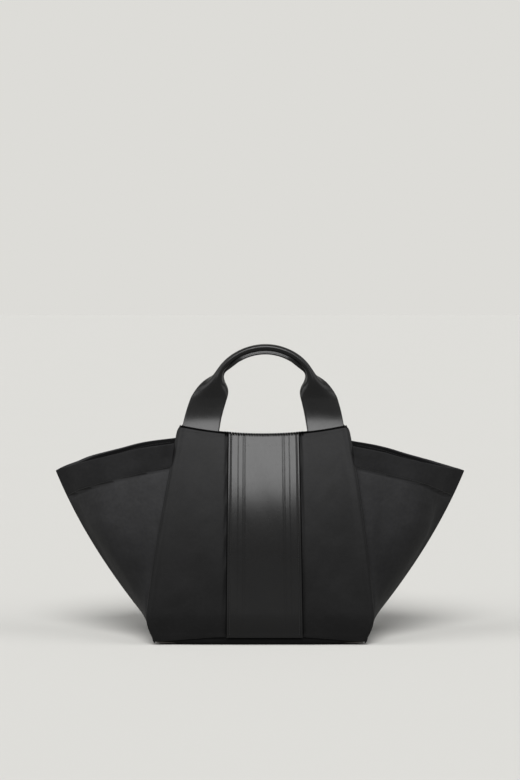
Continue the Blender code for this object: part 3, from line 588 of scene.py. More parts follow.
def stitches(name, tracks, slot, body="bag", weight=1.0):
    """Rows of sunk thread stitches along tracks."""
    sizes = bpy.context.scene.bag_sizes
    length, pitch = sizes.stitch_length, sizes.stitch_length + sizes.stitch_gap
    radius = weight * sizes.thread / 2
    points, faces = [], []
    for track in tracks:
        runs = [0.0]
        for (a, _), (b, _) in zip(track, track[1:]):
            runs.append(runs[-1] + (b - a).length)
        count = max(1, int(runs[-1] / pitch))
        spare = runs[-1] - count * pitch + sizes.stitch_gap
        k = 0
        for number in range(count):
            middle = spare / 2 + number * pitch + length / 2
            while k < len(runs) - 2 and runs[k + 1] < middle:
                k += 1
            share = share_of(middle, runs[k], runs[k + 1])
            ahead = (track[k + 1][0] - track[k][0]).normalized()
            centre = track[k][0].lerp(track[k + 1][0], share)
            up, sideways = squared(track[k][1].lerp(track[k + 1][1], share), ahead)
            faces += roll_faces(len(points), len(STITCH_RINGS), STITCH_SIDES)
            for place, size, lift in STITCH_RINGS:
                ring_middle = centre + ahead * (length * place) + up * (radius * lift)
                points += ring_points(ring_middle, up * radius * size, sideways * radius * size, STITCH_SIDES)
    return add_piece(name, points, faces, finish("sewing thread"), slot, body)


# Finishes

def feed(tree, made, inputs):
    """Sets a node's inputs to values, or links them where a socket is given."""
    for key, value in dict(inputs).items():
        if isinstance(value, bpy.types.NodeSocket):
            tree.links.new(value, made.inputs[key])
        else:
            made.inputs[key].default_value = value
    return made


def node(tree, kind, inputs=(), **settings):
    made = tree.nodes.new(kind)
    for key, value in settings.items():
        setattr(made, key, value)
    return feed(tree, made, inputs)


def reckoned(tree, operation, first, second):
    return node(tree, "ShaderNodeMath", {0: first, 1: second}, operation=operation).outputs[0]


def spread(tree, value, low, high):
    """Maps a 0 to 1 value to low to high."""
    return node(tree, "ShaderNodeMapRange", {0: value, 3: low, 4: high}).outputs[0]


def shaded(tree, tint, value, low, high):
    """The tint made darker or lighter by a 0 to 1 value."""
    grey = node(tree, "ShaderNodeCombineColor", {k: spread(tree, value, low, high) for k in (0, 1, 2)})
    inputs = {0: 1.0, 6: tint, 7: grey.outputs[0]}
    return node(tree, "ShaderNodeMix", inputs, data_type="RGBA", blend_type="MULTIPLY").outputs[2]


def surface(name):
    made = bpy.data.materials.new(name)
    made.use_nodes = True
    tree = made.node_tree
    return made, tree, tree.nodes["Principled BSDF"]


def cut_place(tree):
    return node(tree, "ShaderNodeUVMap", uv_map="cut").outputs[0]


def object_place(tree):
    return node(tree, "ShaderNodeTexCoord").outputs["Object"]


def by_height(tree, low, high, at_low, at_high):
    """A value that changes between two heights above the ground."""
    height = node(tree, "ShaderNodeSeparateXYZ", {0: object_place(tree)}).outputs[2]
    return node(tree, "ShaderNodeMapRange", {0: height, 1: low, 2: high, 3: at_low, 4: at_high}).outputs[0]


def threads(tree, place, pitch, direction):
    wave = {"Vector": place, "Scale": 0.314 / pitch, "Distortion": 0.6, "Detail": 1.0, "Detail Scale": 1.5}
    return node(tree, "ShaderNodeTexWave", wave, bands_direction=direction).outputs["Fac"]


def blotches(tree, place, scale, detail=3.0):
    inputs = {"Vector": place, "Scale": scale, "Detail": detail, "Roughness": 0.55}
    return node(tree, "ShaderNodeTexNoise", inputs).outputs["Fac"]


def raised(tree, height, distance, strength, under=None):
    inputs = {"Height": height, "Distance": distance, "Strength": strength}
    if under is not None:
        inputs["Normal"] = under
    return node(tree, "ShaderNodeBump", inputs).outputs[0]


def woven(name, tint, pitch, roughness, specular, sheen, bump, painted_top_light=1.0):
    """Cloth with crossing threads, uneven dye and a fine nap. Painted light: its colour is painted_top_light
    times lighter at the top and as many times darker low down, as if lit from above.
    """
    made, tree, shader = surface(name)
    place = cut_place(tree)
    warp, weft = threads(tree, place, pitch, "X"), threads(tree, place, pitch * 1.3, "Y")
    weave = reckoned(tree, "MULTIPLY", warp, weft)
    dye = spread(tree, blotches(tree, place, 26.0), 0.25, 0.75)
    fleck = spread(tree, blotches(tree, place, 260.0), 0.74, 1.26)
    # Painted light from above: the colour is lighter towards the top and darker towards the bottom.
    variation = by_height(tree, 0.09, 0.22, 1 / painted_top_light, painted_top_light)
    dye_and_painted_light = reckoned(tree, "MULTIPLY", reckoned(tree, "MULTIPLY", dye, variation), fleck)
    nap = blotches(tree, place, 1400.0, 2.0)
    ground = raised(tree, blotches(tree, place, 110.0), 0.0008, 0.24)
    feed(tree, shader, {
        "Base Color": shaded(tree, tint, dye_and_painted_light, 0.0, 2.0),
        "Roughness": spread(tree, nap, roughness - 0.08, roughness + 0.08),
        "Normal": raised(tree, weave, 0.00012, bump, ground),
        "Specular IOR Level": specular,
        "Sheen Weight": sheen,
        "Sheen Roughness": 0.35,
    })
    return made


def hide(name, tint, roughness):
    """Smooth leather: fine pebbled grain, uneven dye, and a gloss that is rubbed dull low down."""
    made, tree, shader = surface(name)
    place = object_place(tree)
    grain = node(tree, "ShaderNodeTexVoronoi", {"Vector": place, "Scale": 1250.0}).outputs["Distance"]
    creases = blotches(tree, place, 320.0, 4.0)
    gloss = spread(tree, creases, roughness - 0.04, roughness + 0.04)
    ground = raised(tree, blotches(tree, place, 70.0, 2.0), 0.0005, 0.05)
    fine = raised(tree, creases, 0.00020, 0.045, ground)
    feed(tree, shader, {
        "Base Color": shaded(tree, tint, blotches(tree, place, 34.0), 0.80, 1.20),
        "Roughness": reckoned(tree, "ADD", gloss, by_height(tree, 0.02, 0.10, 0.20, 0.0)),
        "Normal": raised(tree, grain, 0.00012, 0.04, fine),
        "Specular IOR Level": 0.19,
    })
    return made


def twisted(name, tint):
    """Sewing thread, with the twist of its strands."""
    made, tree, shader = surface(name)
    twist = threads(tree, object_place(tree), 0.0004, "DIAGONAL")
    feed(tree, shader, {
        "Base Color": shaded(tree, tint, twist, 0.6, 1.4),
        "Normal": raised(tree, twist, 0.00008, 0.6),
        "Roughness": 0.60,
        "Specular IOR Level": 0.3,
    })
    return made


def plated(name, tint):
    """Dark plated metal, finely brushed, with duller patches."""
    made, tree, shader = surface(name)
    place = object_place(tree)
    stretch = {"Vector": place, "Scale": (260.0, 3200.0, 3200.0)}
    streaks = {"Vector": node(tree, "ShaderNodeMapping", stretch).outputs[0], "Scale": 1.0, "Detail": 4.0}
    brushed = node(tree, "ShaderNodeTexNoise", streaks).outputs["Fac"]
    feed(tree, shader, {
        "Base Color": shaded(tree, tint, blotches(tree, place, 420.0), 0.75, 1.25),
        "Roughness": spread(tree, brushed, 0.24, 0.44),
        "Normal": raised(tree, brushed, 0.00004, 0.35),
        "Metallic": 1.0,
    })
    return made


def fibrous(name, tint, scale, roughness):
    """Board or cord: pressed or twisted fibres."""
    made, tree, shader = surface(name)
    fibres = blotches(tree, object_place(tree), scale, 5.0)
    feed(tree, shader, {
        "Base Color": shaded(tree, tint, fibres, 0.55, 1.45),
        "Normal": raised(tree, fibres, 0.0003, 0.5),
        "Roughness": roughness,
    })
    return made


def nylon(name, tint):
    made, tree, shader = surface(name)
    variation = blotches(tree, object_place(tree), 500.0)
    feed(tree, shader, {
        "Base Color": shaded(tree, tint, variation, 0.75, 1.3),
        "Roughness": spread(tree, variation, 0.30, 0.45),
        "Normal": raised(tree, variation, 0.00005, 0.3),
    })
    return made


# Each finish: its maker, the colour it takes, a factor on that colour, and the maker's own values.
# Woven ones have thread pitch, roughness, specular level, sheen, bump and painted top light, how many times
# lighter the top is painted.
FINISHES = {
    "outer cloth": (woven, "cloth", 1.0, 0.0008, 0.52, 0.09, 0.01, 0.25, 1.42),
    # Painted light: the wings' copies of the cloth are painted over twice as light as the panels', the left
    # lighter than the right, and the hem's copy less light.
    "left wing cloth": (woven, "cloth", 2.6, 0.0008, 0.62, 0.05, 0.0, 0.25, 1.5),
    "right wing cloth": (woven, "cloth", 2.1, 0.0008, 0.62, 0.05, 0.0, 0.25, 1.3),
    "hem cloth": (woven, "cloth", 1.55, 0.0008, 0.62, 0.05, 0.0, 0.25, 1.1),
    # Painted shade: the base's copy of the cloth is painted at half its colour.
    "base cloth": (woven, "cloth", 0.5, 0.0008, 0.75, 0.06, 0.0, 0.25),
    # Painted shade: the facing's own colour is darker than the outer cloth, as the inside of the mouth in
    # shade.
    "facing cloth": (woven, "facing", 1.0, 0.0007, 0.85, 0.03, 0.0, 0.25),
    # Painted shadow: a near-black cord with no gloss, for dark shadow lines along the rim and beside the
    # band.
    "binding cord": (woven, "facing", 0.35, 0.0004, 0.85, 0.01, 0.0, 0.25),
    "lining cloth": (woven, "lining", 1.0, 0.0005, 0.50, 0.30, 0.05, 0.20),
    "zip tape": (woven, "tape", 1.0, 0.0006, 0.70, 0.20, 0.0, 0.60),
    "smooth leather": (hide, "leather", 1.0, 0.26),
    "sewing thread": (twisted, "thread", 1.0),
    "plated metal": (plated, "metal", 1.0),
    "pressed board": (fibrous, "board", 1.0, 260.0, 0.9),
    "cotton cord": (fibrous, "cord", 1.0, 900.0, 0.95),
    "zip nylon": (nylon, "tape", 1.0),
}


def finish(name):
    """The finish of that name, made the first time that a piece asks for it."""
    known = bpy.data.materials.get(name)
    if known:
        return known
    maker, dye, factor, *values = FINISHES[name]
    tint = [c * factor for c in getattr(bpy.context.scene.bag_colours, dye)[:3]] + [1.0]
    return maker(name, tint, *values)


# Panels, wings and base

def panel_foot(across):
    """A panel's lower edge: the base shows under its middle and is covered at its corners."""
    return mix(PANEL_CORNER_FOOT, BASE_SEAM_HEIGHT, min(1.0, (1 - abs(across)) / 0.58))


def band_groove(side, x, z):
    """The cloth is pressed in beside the leather band."""
    if side == BACK:
        return 0.0
    edge = band_width(z) / 2 + BAND_GROOVE_INSET
    return BAND_GROOVE * bell(abs(x - band_shift(z)), edge, BAND_GROOVE_WIDTH)


def panel_place(side, top_gap=0.0):
    """place(u, v, depth) over a panel, from its left to its right seam and from the bottom to the rim."""
    def place(u, v, depth):
        across = 2 * u - 1
        z = mix(panel_foot(across), rim_height(side, across) - top_gap, v)
        pressed = band_groove(side, across * half_width(z), z)
        return shell_point(("panel", 0, side, across), z, depth + pressed)
    return place


def round_fold(u):
    """A wing's side and how far out on it, for u from the front seam round the fold to the back seam."""
    return (FRONT, 2 * u) if u <= 0.5 else (BACK, 2 - 2 * u)


def wing_place(hand):
    """place(u, v, depth) over a wing, from its front seam to its back seam and from the bottom to the rim."""
    def place(u, v, depth):
        side, out = round_fold(u)
        z = mix(PANEL_CORNER_FOOT, wing_rim(hand, side, out), v)
        return shell_point(("wing", hand, side, out), z, depth)
    return place


def seam_place(hand, side, z, depth):
    """A point on a side seam, where depth is counted inwards along the corner's own direction."""
    inset = SEAM_ROLL_INSET + depth
    return Vector((hand * corner_x(z, inset) + sideways_lean(z), side * (half_depth(z) - inset), z))


class BAG_OT_panels(bpy.types.Operator):
    """Front and back panel with the stitched rim, a near-black cord along the rim as painted shadow line, and
    the rolls along the side seams
    """

    bl_idname = "bag.panels"
    bl_label = "Panels"

    def execute(self, context):
        for name, side in SIDES:
            panel, rim = panel_place(side), panel_place(side, RIM_STITCH_DROP)
            sewn_sheet(
                f"{name}_panel_cloth", panel, *grid(PANEL_CELLS, CLOTH), CLOTH,
                finish("outer cloth"), "cloth", (f"{name}_panel",),
            )
            tracks = [track_on(lambda s, d: rim(s, 1.0, d), 60, *span) for span in RIM_STITCH_SPANS[side]]
            stitches(f"{name}_rim_stitches", tracks, "cloth")
            # A near-black cord along the rim: a real raised edge, with its colour as painted shadow line.
            bound = [track_on(lambda s, d: panel(s, 1.0, CLOTH / 2 + d), 60, *span) for span in RIM_SHADOW_CORD_SPANS]
            tube(f"{name}_rim_binding", bound, RIM_SHADOW_CORD_RADII, finish("binding cord"), "facing_cloth")
        rolls = []
        head = panel_top(1.0) + SEAM_ROLL_HEAD
        for hand in (LEFT, RIGHT):
            for side in (FRONT, BACK):
                def seam(share, depth):
                    return seam_place(hand, side, mix(SEAM_ROLL_FOOT, head, share), depth)
                rolls.append(track_on(seam, 70))
        radii = [SEAM_ROLL_RADIUS] * len(rolls)
        tube("side_seam_rolls", rolls, radii, finish("outer cloth"), "cloth", squash=0.8)
        return {"FINISHED"}


class BAG_OT_wings(bpy.types.Operator):
    """The two wings, each one cloth folded down its middle, with its stitched hem"""

    bl_idname = "bag.wings"
    bl_label = "Wings"

    def execute(self, context):
        across, up = grid(WING_CELLS, CLOTH)
        across += [(u, 1.0) for u in NEAR_FOLD]
        across = sorted({round(u, 6): (u, f) for u, f in across}.values())
        for name, hand in HANDS:
            place = wing_place(hand)
            # Painted light: each wing takes a copy of the cloth painted lighter than the panels', the left
            # one more.
            piece = sewn_sheet(
                f"{name}_wing_cloth", place, across, up, CLOTH, finish(f"{name} wing cloth"), "cloth",
                (f"{name}_front_gusset", f"{name}_back_gusset"),
            )
            # Painted shade: the hem above its seam takes a copy painted darker than the wing.
            piece.data.materials.append(finish("hem cloth"))
            for face in piece.data.polygons:
                row, column = divmod(face.vertices[0], len(across))
                if row < len(up):
                    u, v = across[column][0], up[row][0]
                    face.material_index = int(place(u, v, 0.0).z > hem_seam(round_fold(u)[1]))
            tracks = []
            for side in (FRONT, BACK):
                def hem(out, depth):
                    return shell_point(("wing", hand, side, out), hem_seam(out) + HEM_STITCH_RISE, depth)
                tracks.append(track_on(hem, 60, *HEM_STITCH_SPAN))
            stitches(f"{name}_hem_stitches", tracks, "cloth")
        return {"FINISHED"}


class BAG_OT_base(bpy.types.Operator):
    """The base: a shallow cloth tray whose edge turns up to the base seam"""

    bl_idname = "bag.base"
    bl_label = "Base"

    def execute(self, context):
        corners = [("panel", 0, FRONT, -1.0 + k / 20) for k in range(41)]
        corners += [("wing", RIGHT, FRONT, k / 16) for k in range(1, 17)]
        corners += [("wing", RIGHT, BACK, 1 - k / 16) for k in range(1, 17)]
        corners += [("panel", 0, BACK, 1.0 - k / 20) for k in range(1, 41)]
        corners += [("wing", LEFT, BACK, k / 16) for k in range(1, 17)]
        corners += [("wing", LEFT, FRONT, 1 - k / 16) for k in range(1, 16)]
        rings = []
        for step in range(EDGE_STEPS + 1):
            z = BASE_SEAM_HEIGHT * math.cos(math.pi / 2 * step / EDGE_STEPS)
            inset = CLOTH + TRAY_GAP - TRAY_FLARE * (step / EDGE_STEPS) ** 2
            rings.append([tray_point(corner, z, inset) for corner in corners])
        edge = rings[-1]
        for step in range(1, FLAT_STEPS):
            sunk = max(0.0, 1 - step / SUNK_STEPS)
            rings.append([Vector((p.x, p.y, p.z * sunk)) * (1 - step / FLAT_STEPS) for p in edge])
        points = [p for ring in rings for p in ring] + [Vector((0, 0, 0))]
        count = len(corners)
        starts = [ring * count for ring in range(len(rings))]
        faces = [face for ring, after in zip(starts, starts[1:]) for face in ring_faces(ring, after, count)]
        faces += fan_faces(starts[-1], len(points) - 1, count)
        points, faces = thickened(points, faces, CLOTH)
        flats = [(p.x + p.z, p.y + p.z) for p in points]
        # The base's cloth is painted darker, as painted shade under the bag.
        add_piece("base_cloth", points, faces, finish("base cloth"), "cloth", "bag", flats, ("base_panel",))
        bpy.data.objects["base_board"].material_slots[0].material = finish("pressed board")
        return {"FINISHED"}


def tray_point(station, z, inset):
    """A point of the base's edge, which lifts off the ground a little at the bag's corners."""
    kind, hand, side, place = station
    if kind == "wing":
        point, near_corner = wing_point(hand, side, place, z, inset), 1 - place
    else:
        point, near_corner = panel_point(side, place * corner_x(z, inset), z, inset), 2.2 * abs(place) - 1.2
    point.z += CORNER_LIFT * eased(near_corner) * (1 - z / BASE_SEAM_HEIGHT)
    return point


def thickened(points, faces, thickness):
    """The same sheet with a second face that thickness inside, and its open edges closed."""
    shape = bmesh.new()
    made = [shape.verts.new(p) for p in points]
    for face in faces:
        shape.faces.new([made[k] for k in face])
    bmesh.ops.recalc_face_normals(shape, faces=shape.faces)
    bmesh.ops.solidify(shape, geom=shape.faces[:], thickness=thickness)
    shape.verts.index_update()
    result = [v.co.copy() for v in shape.verts], [[v.index for v in f.verts] for f in shape.faces]
    shape.free()
    return result


# Leather band

def band_shift(z):
    """How far the band's middle is from the panel's."""
    return mix(*BAND_OFFSET, share_of(z, BASE_SEAM_HEIGHT, PANEL_HEIGHT)) - sideways_lean(z)


def band_width(z):
    return mix(BAND_BASE_WIDTH, BAND_TOP_WIDTH, share_of(z, BASE_SEAM_HEIGHT, PANEL_HEIGHT))


def band_relief(from_edge, share):
    """Pressed lines along the band, a groove under each row of stitches and a rolled edge."""
    relief = BAND_LIP * (1 - eased((from_edge - BAND_LIP_WIDTH) / BAND_LIP_RUN))
    relief -= BAND_TRENCH * bell(from_edge, BAND_STITCH_INSET, BAND_TRENCH_WIDTH)
    for line in BAND_LINES:
        relief -= BAND_LINE_DEPTH * bell(share * BAND_TOP_WIDTH / 2, line, BAND_LINE_WIDTH)
    return relief


def band_place(u, v, depth):
    across = 2 * u - 1
    z = mix(BASE_SEAM_HEIGHT, panel_top(across * BAND_TOP_WIDTH / MOUTH_WIDTH) + BAND_RISE, v)
    x = band_width(z) / 2 * across + band_shift(z)
    relief = band_relief((1 - abs(across)) * band_width(z) / 2, 1 - abs(across))
    point = panel_point(FRONT, x, z, depth - LAYER_GAP - BAND_LEATHER - relief - panel_slack(FRONT, x, z))
    point.x += sideways_lean(z)
    return point


def overcast_loop(x):
    """One thread over the band's top edge, up its front and down inside."""
    top = panel_top(x / (MOUTH_WIDTH / 2))
    loop = []
    for step in range(-3, 11):
        turn = math.pi * max(0.0, step / 10)
        rise = OVERCAST_RISE * math.sin(turn) + OVERCAST_LEG * min(0.0, step)
        inset = OVERCAST_INSET - panel_slack(FRONT, x, top)
        point = panel_point(FRONT, x + OVERCAST_SLANT * math.cos(turn), top, inset)
        point += Vector((sideways_lean(top), -OVERCAST_REACH * math.cos(turn), rise))
        loop.append((point, Vector((1, 0, 0))))
    return loop


class BAG_OT_band(bpy.types.Operator):
    """The leather band: pressed lines, rows of stitches, near-black cords along its edges as painted shadow
    of the gap beside it, and an overcast top
    """

    bl_idname = "bag.band"
    bl_label = "Leather band"

    def execute(self, context):
        # The near-black cord finish paints shadow: in the gaps beside the band and on the overcast thread.
        leather, cord = finish("smooth leather"), finish("binding cord")
        cells = grid(BAND_CELLS, BAND_LEATHER)
        sewn_sheet(
            "front_band_leather", band_place, *cells, BAND_LEATHER, leather, "leather", ("front_band",)
        )

        def lengthwise(u, sunk, span):
            return track_on(lambda v, d: band_place(u, v, sunk + d), 90, *span)

        inset = BAND_STITCH_INSET / BAND_TOP_WIDTH
        rows = [lengthwise(u, 0.0, BAND_STITCH_SPAN) for u in (inset, 1 - inset)]
        rows.append(track_on(lambda u, d: band_place(u, BAND_TOP_ROW, d), 40, *BAND_TOP_SPAN))
        stitches("band_stitches", rows, "leather", weight=1.5)
        # Near-black cords along both edges: painted shadow of the gap between band and cloth.
        edges = [lengthwise(u, BAND_SHADOW_CORD_DEPTH, BAND_SHADOW_CORD_SPAN) for u in (0.0, 1.0)]
        tube("band_edge_cords", edges, [BAND_SHADOW_CORD_RADIUS] * 2, cord, "leather", sides=8)
        count = int(OVERCAST_RUN / OVERCAST_PITCH)
        first = band_shift(PANEL_HEIGHT) - (count - 1) / 2 * OVERCAST_PITCH
        loops = [overcast_loop(first + number * OVERCAST_PITCH) for number in range(count)]
        # The overcast thread is real; its near-black colour is painted shade.
        tube("band_overcast", loops, [OVERCAST_RADIUS] * count, cord, "leather", sides=8)
        return {"FINISHED"}


# Facings, lining and pocket

def facing_inset(below_rim, held=0.0):
    """A facing touches the outer cloth at the rim and hangs off it lower down, or where it is held off."""
    return mix(FACING_TOUCH, LINING_INSET, max(eased(below_rim / FACING_RUN), held))


def panel_facing(side):
    def place(u, v, depth):
        across = 2 * u - 1
        top = rim_height(side, across) - FACING_DROP
        z = mix(WING_ROOT_HEIGHT - HEM_HEIGHT + LAYER_GAP, top, v)
        from_strap = abs(abs(across) * MOUTH_WIDTH / 2 - HANDLE_SPACING / 2) - HANDLE_WIDTH / 2
        inset = facing_inset(top - z, 1 - eased(from_strap / STRAP_RUN))
        return shell_point(("panel", 0, side, across), z, inset + depth)
    return place


def wing_facing(hand):
    def place(u, v, depth):
        side, out = round_fold(u)
        top = wing_rim(hand, side, out) - FACING_DROP
        z = mix(wing_hem(out) + LAYER_GAP, top, v)
        return shell_point(("wing", hand, side, out), z, facing_inset(top - z) + depth)
    return place


class BAG_OT_facings(bpy.types.Operator):
    """Facings inside the mouth and the wings, sewn to the outer cloth along the rim"""

    bl_idname = "bag.facings"
    bl_label = "Facings"

    def execute(self, context):
        over_panel, over_wing = grid(FACING_CELLS, FACING_CLOTH), grid(WING_FACING_CELLS, FACING_CLOTH)
        facings = [(f"{name}_facing", panel_facing(side), over_panel, 0.93, 80) for name, side in SIDES]
        facings += [(f"{name}_wing_facing", wing_facing(hand), over_wing, 0.90, 60) for name, hand in HANDS]
        for name, place, cells, height, steps in facings:
            # The facings take the facing colour, painted darker as shade inside the mouth.
            sewn_sheet(
                f"{name}_cloth", place, *cells, FACING_CLOTH, finish("facing cloth"), "facing_cloth", (name,)
            )

            def inside(share, depth):
                return place(share, height, FACING_CLOTH - depth)

            spans = WING_FACING_SPANS if cells is over_wing else PANEL_FACING_SPANS
            rows = [track_on(inside, steps, *span) for span in spans]
            stitches(f"{name}_stitches", rows, "facing_cloth")
        return {"FINISHED"}


def lining_stations():
    """The lining's stations round the bag, and the ends of the zip's slot as shares of the back."""
    outwards = [k / WING_STATIONS for k in range(WING_STATIONS + 1)]
    across = [2 * k / PANEL_STATIONS - 1 for k in range(1, PANEL_STATIONS)]
    slot_half, shift = ZIP_LENGTH / 2 + SLOT_CLEARANCE, sideways_lean(ZIP_HEIGHT)
    slot = [(end * slot_half - shift) / corner_x(ZIP_HEIGHT, LINING_INSET) for end in (-1, 1)]
    behind = sorted({*across, *slot}, reverse=True)
    places = [("wing", LEFT, FRONT, out) for out in reversed(outwards)]
    places += [("panel", 0, FRONT, place) for place in across]
    places += [("wing", RIGHT, FRONT, out) for out in outwards]
    places += [("wing", RIGHT, BACK, out) for out in reversed(outwards[:-1])]
    places += [("panel", 0, BACK, place) for place in behind]
    places += [("wing", LEFT, BACK, out) for out in outwards[1:-1]]
    return places, slot


def lining_fold(station, z, floor, top):
    """How far the loose lining falls inwards."""
    kind, hand, side, place = station
    up = share_of(z, floor, top)
    held = eased(up / 0.12) * eased((1 - up) / 0.10)
    if kind == "panel" and side == BACK:
        held *= eased(abs(z - ZIP_HEIGHT) / 0.030) if abs(place) < 0.8 else 1.0
    across = place * 1.6 + 3 * side if kind == "panel" else 9 + 2 * hand + side + place
    if kind == "wing":
        held *= eased(place / 0.15) * eased((1 - place) / 0.2)
    soft = 0.5 + 0.5 * ripple(across, z, LINING_FOLD, 51.0) + 0.4 * ripple(across, z, LINING_SMALL_FOLD, 61.0)
    return bpy.context.scene.bag_sizes.lining_slack * held * max(0.0, soft)


class BAG_OT_lining(bpy.types.Operator):
    """The lining, a sewn cup with its zip slot, and the pocket behind it"""

    bl_idname = "bag.lining"
    bl_label = "Lining and pocket"

    def execute(self, context):
        floor = CLOTH + BOARD + 2 * LAYER_GAP
        places, slot = lining_stations()
        count = len(places)
        rows = []
        for level in range(LINING_LEVELS + 1):
            ring = []
            for station in places:
                root = wing_top(station[3]) if station[0] == "wing" else WING_ROOT_HEIGHT
                top = root - HEM_HEIGHT - LINING_CLOTH
                z = mix(floor, top, level / LINING_LEVELS)
                ring.append(shell_point(station, z, LINING_INSET + lining_fold(station, z, floor, top)))
            rows.append(ring)
        points = [p for ring in rows for p in ring]

        slot_rise = (ZIP_SPLIT / 2 + ZIP_TAPE_WIDTH + SLOT_CLEARANCE) * zip_axes()[2].z + 1e-5

        def in_slot(quad):
            ends = [places[k % count] for k in quad[:2]]
            if any(kind != "panel" or side != BACK for kind, _, side, _ in ends):
                return False
            if any(not slot[0] - 1e-6 <= place <= slot[1] + 1e-6 for *_, place in ends):
                return False
            return all(abs(points[k].z - ZIP_HEIGHT) <= slot_rise for k in quad)

        starts = [level * count for level in range(LINING_LEVELS + 1)]
        walls = [face for ring, after in zip(starts, starts[1:]) for face in ring_faces(ring, after, count)]
        faces = [quad for quad in walls if not in_slot(quad)]
        for step in range(1, FLAT_STEPS):
            inwards = 1 - step / FLAT_STEPS
            points += [Vector((p.x * inwards, p.y * inwards, floor)) for p in rows[0]]
        points.append(Vector((0, 0, floor)))
        starts = [0] + [(LINING_LEVELS + step) * count for step in range(1, FLAT_STEPS)]
        for outer, inner in zip(starts, starts[1:]):
            faces += ring_faces(inner, outer, count)
        faces += fan_faces(starts[-1], len(points) - 1, count)
        points, faces = thickened(points, faces, LINING_CLOTH)
        flats = [(p.x + p.y, p.z + 0.3 * p.y) for p in points]
        cloth = finish("lining cloth")
        add_piece("lining_cup", points, faces, cloth, "lining_cloth", "bag", flats, ("lining",))

        high = ZIP_HEIGHT - SLIDER_HALF_WIDTH - LAYER_GAP
        pocket_inset = LINING_INSET - LAYER_GAP - POCKET_CLOTH

        def pocket(u, v, depth):
            x, z = mix(-POCKET_WIDTH / 2, POCKET_WIDTH / 2, u), mix(high - POCKET_DEPTH, high, v)
            return shell_point(("panel", 0, BACK, x / corner_x(z, pocket_inset)), z, pocket_inset + depth)

        cells = grid(POCKET_CELLS, POCKET_CLOTH)
        sewn_sheet("pocket_cloth", pocket, *cells, POCKET_CLOTH, cloth, "lining_cloth", ("pocket_bag",))
        return {"FINISHED"}


# Zip

def zip_axes():
    """The zip's middle on the back wall, and the directions out through the wall and up along it."""
    inset = LINING_INSET + LINING_CLOTH / 2
    low, high = (panel_point(BACK, 0.0, ZIP_HEIGHT + step, inset) for step in (-WALL_PROBE, WALL_PROBE))
    up = (high - low).normalized()
    return (low + high) / 2, Vector((0, up.z, -up.y)), up


def coil_loop(hand, number):
    """One turn of the coil on the upper or lower tape."""
    middle, outwards, up = zip_axes()
    x = -ZIP_LENGTH / 2 + (2 * number + 1 + 0.5 * hand) * COIL_PITCH
    loop = []
    for step in range(13):
        turn = math.pi * step / 12
        across = hand * (ZIP_SPLIT / 2 + COIL_REACH * (0.5 + 0.5 * math.cos(turn)) - COIL_OVERLAP)
        lift = COIL_HEIGHT * 0.75 * math.sin(turn) ** 0.7 + LINING_CLOTH / 2 - COIL_SINK
        place = middle + Vector((x + COIL_SLANT * math.cos(turn), 0, 0))
        loop.append((place + up * across - outwards * lift, Vector((1, 0, 0))))
    return loop


class BAG_OT_zip(bpy.types.Operator):
    """The zip: two woven tapes, their coils and the stitches round the slot"""

    bl_idname = "bag.zip"
    bl_label = "Zip"

    def execute(self, context):
        middle, outwards, up = zip_axes()
        for name, hand in (("upper", 1), ("lower", -1)):
            def tape(u, v, depth):
                z = hand * mix(ZIP_SPLIT / 2, ZIP_SPLIT / 2 + ZIP_TAPE_WIDTH, v)
                x = mix(-ZIP_LENGTH / 2, ZIP_LENGTH / 2, u)
                return middle + Vector((x, 0, 0)) + up * z + outwards * (LINING_CLOTH / 2 - depth)
            sewn_sheet(
                f"zip_{name}_tape", tape, *grid(TAPE_CELLS, LINING_CLOTH), LINING_CLOTH, finish("zip tape"),
                "zip_tape", (f"zip_tape_{name}",),
            )
            loops = [coil_loop(hand, number) for number in range(int(ZIP_LENGTH / COIL_PITCH) // 2)]
            radii = [COIL_RADIUS] * len(loops)
            tube(f"zip_{name}_coil", loops, radii, finish("zip nylon"), "zip_tape", sides=6)
        slot_x = ZIP_LENGTH / 2 + SLOT_STITCH_MARGIN
        slot_z = ZIP_SPLIT / 2 + ZIP_TAPE_WIDTH + SLOT_STITCH_MARGIN
        corners = [(-slot_x, -slot_z), (slot_x, -slot_z), (slot_x, slot_z), (-slot_x, slot_z)]
        face = middle - outwards * (LINING_CLOTH / 2 + SLOT_STITCH_RISE)
        tracks = []
        for (x0, z0), (x1, z1) in zip(corners, corners[1:] + corners[:1]):
            spots = [face + Vector((mix(x0, x1, k / 30), 0, 0)) + up * mix(z0, z1, k / 30) for k in range(31)]
            tracks.append([(spot, -outwards) for spot in spots])
        stitches("zip_slot_stitches", tracks, "lining_cloth")
        return {"FINISHED"}


# Rolled handles

def grip_half_profile():
    """Lengths along half of the rolled section: to the end of its round, of its neck and of its flange."""
    round_length = GRIP_RADIUS * (math.pi / 2 + GRIP_NECK_ANGLE)
    edge = (LEATHER + LAYER_GAP) / 2
    neck_length = (GRIP_RADIUS * math.cos(GRIP_NECK_ANGLE) - edge) / math.sin(GRIP_NECK_ANGLE)
    return round_length, round_length + neck_length, round_length + neck_length + GRIP_FLANGE


def rolled_angle(length):
    """The direction of the rolled section at a length from its middle."""
    round_end, neck_end, _ = grip_half_profile()
    if length <= round_end:
        return length / GRIP_RADIUS
    lip = eased((length - neck_end) / 0.0010 + 0.5)
    return math.pi / 2 + mix(GRIP_NECK_ANGLE, -GRIP_SPLAY, lip)


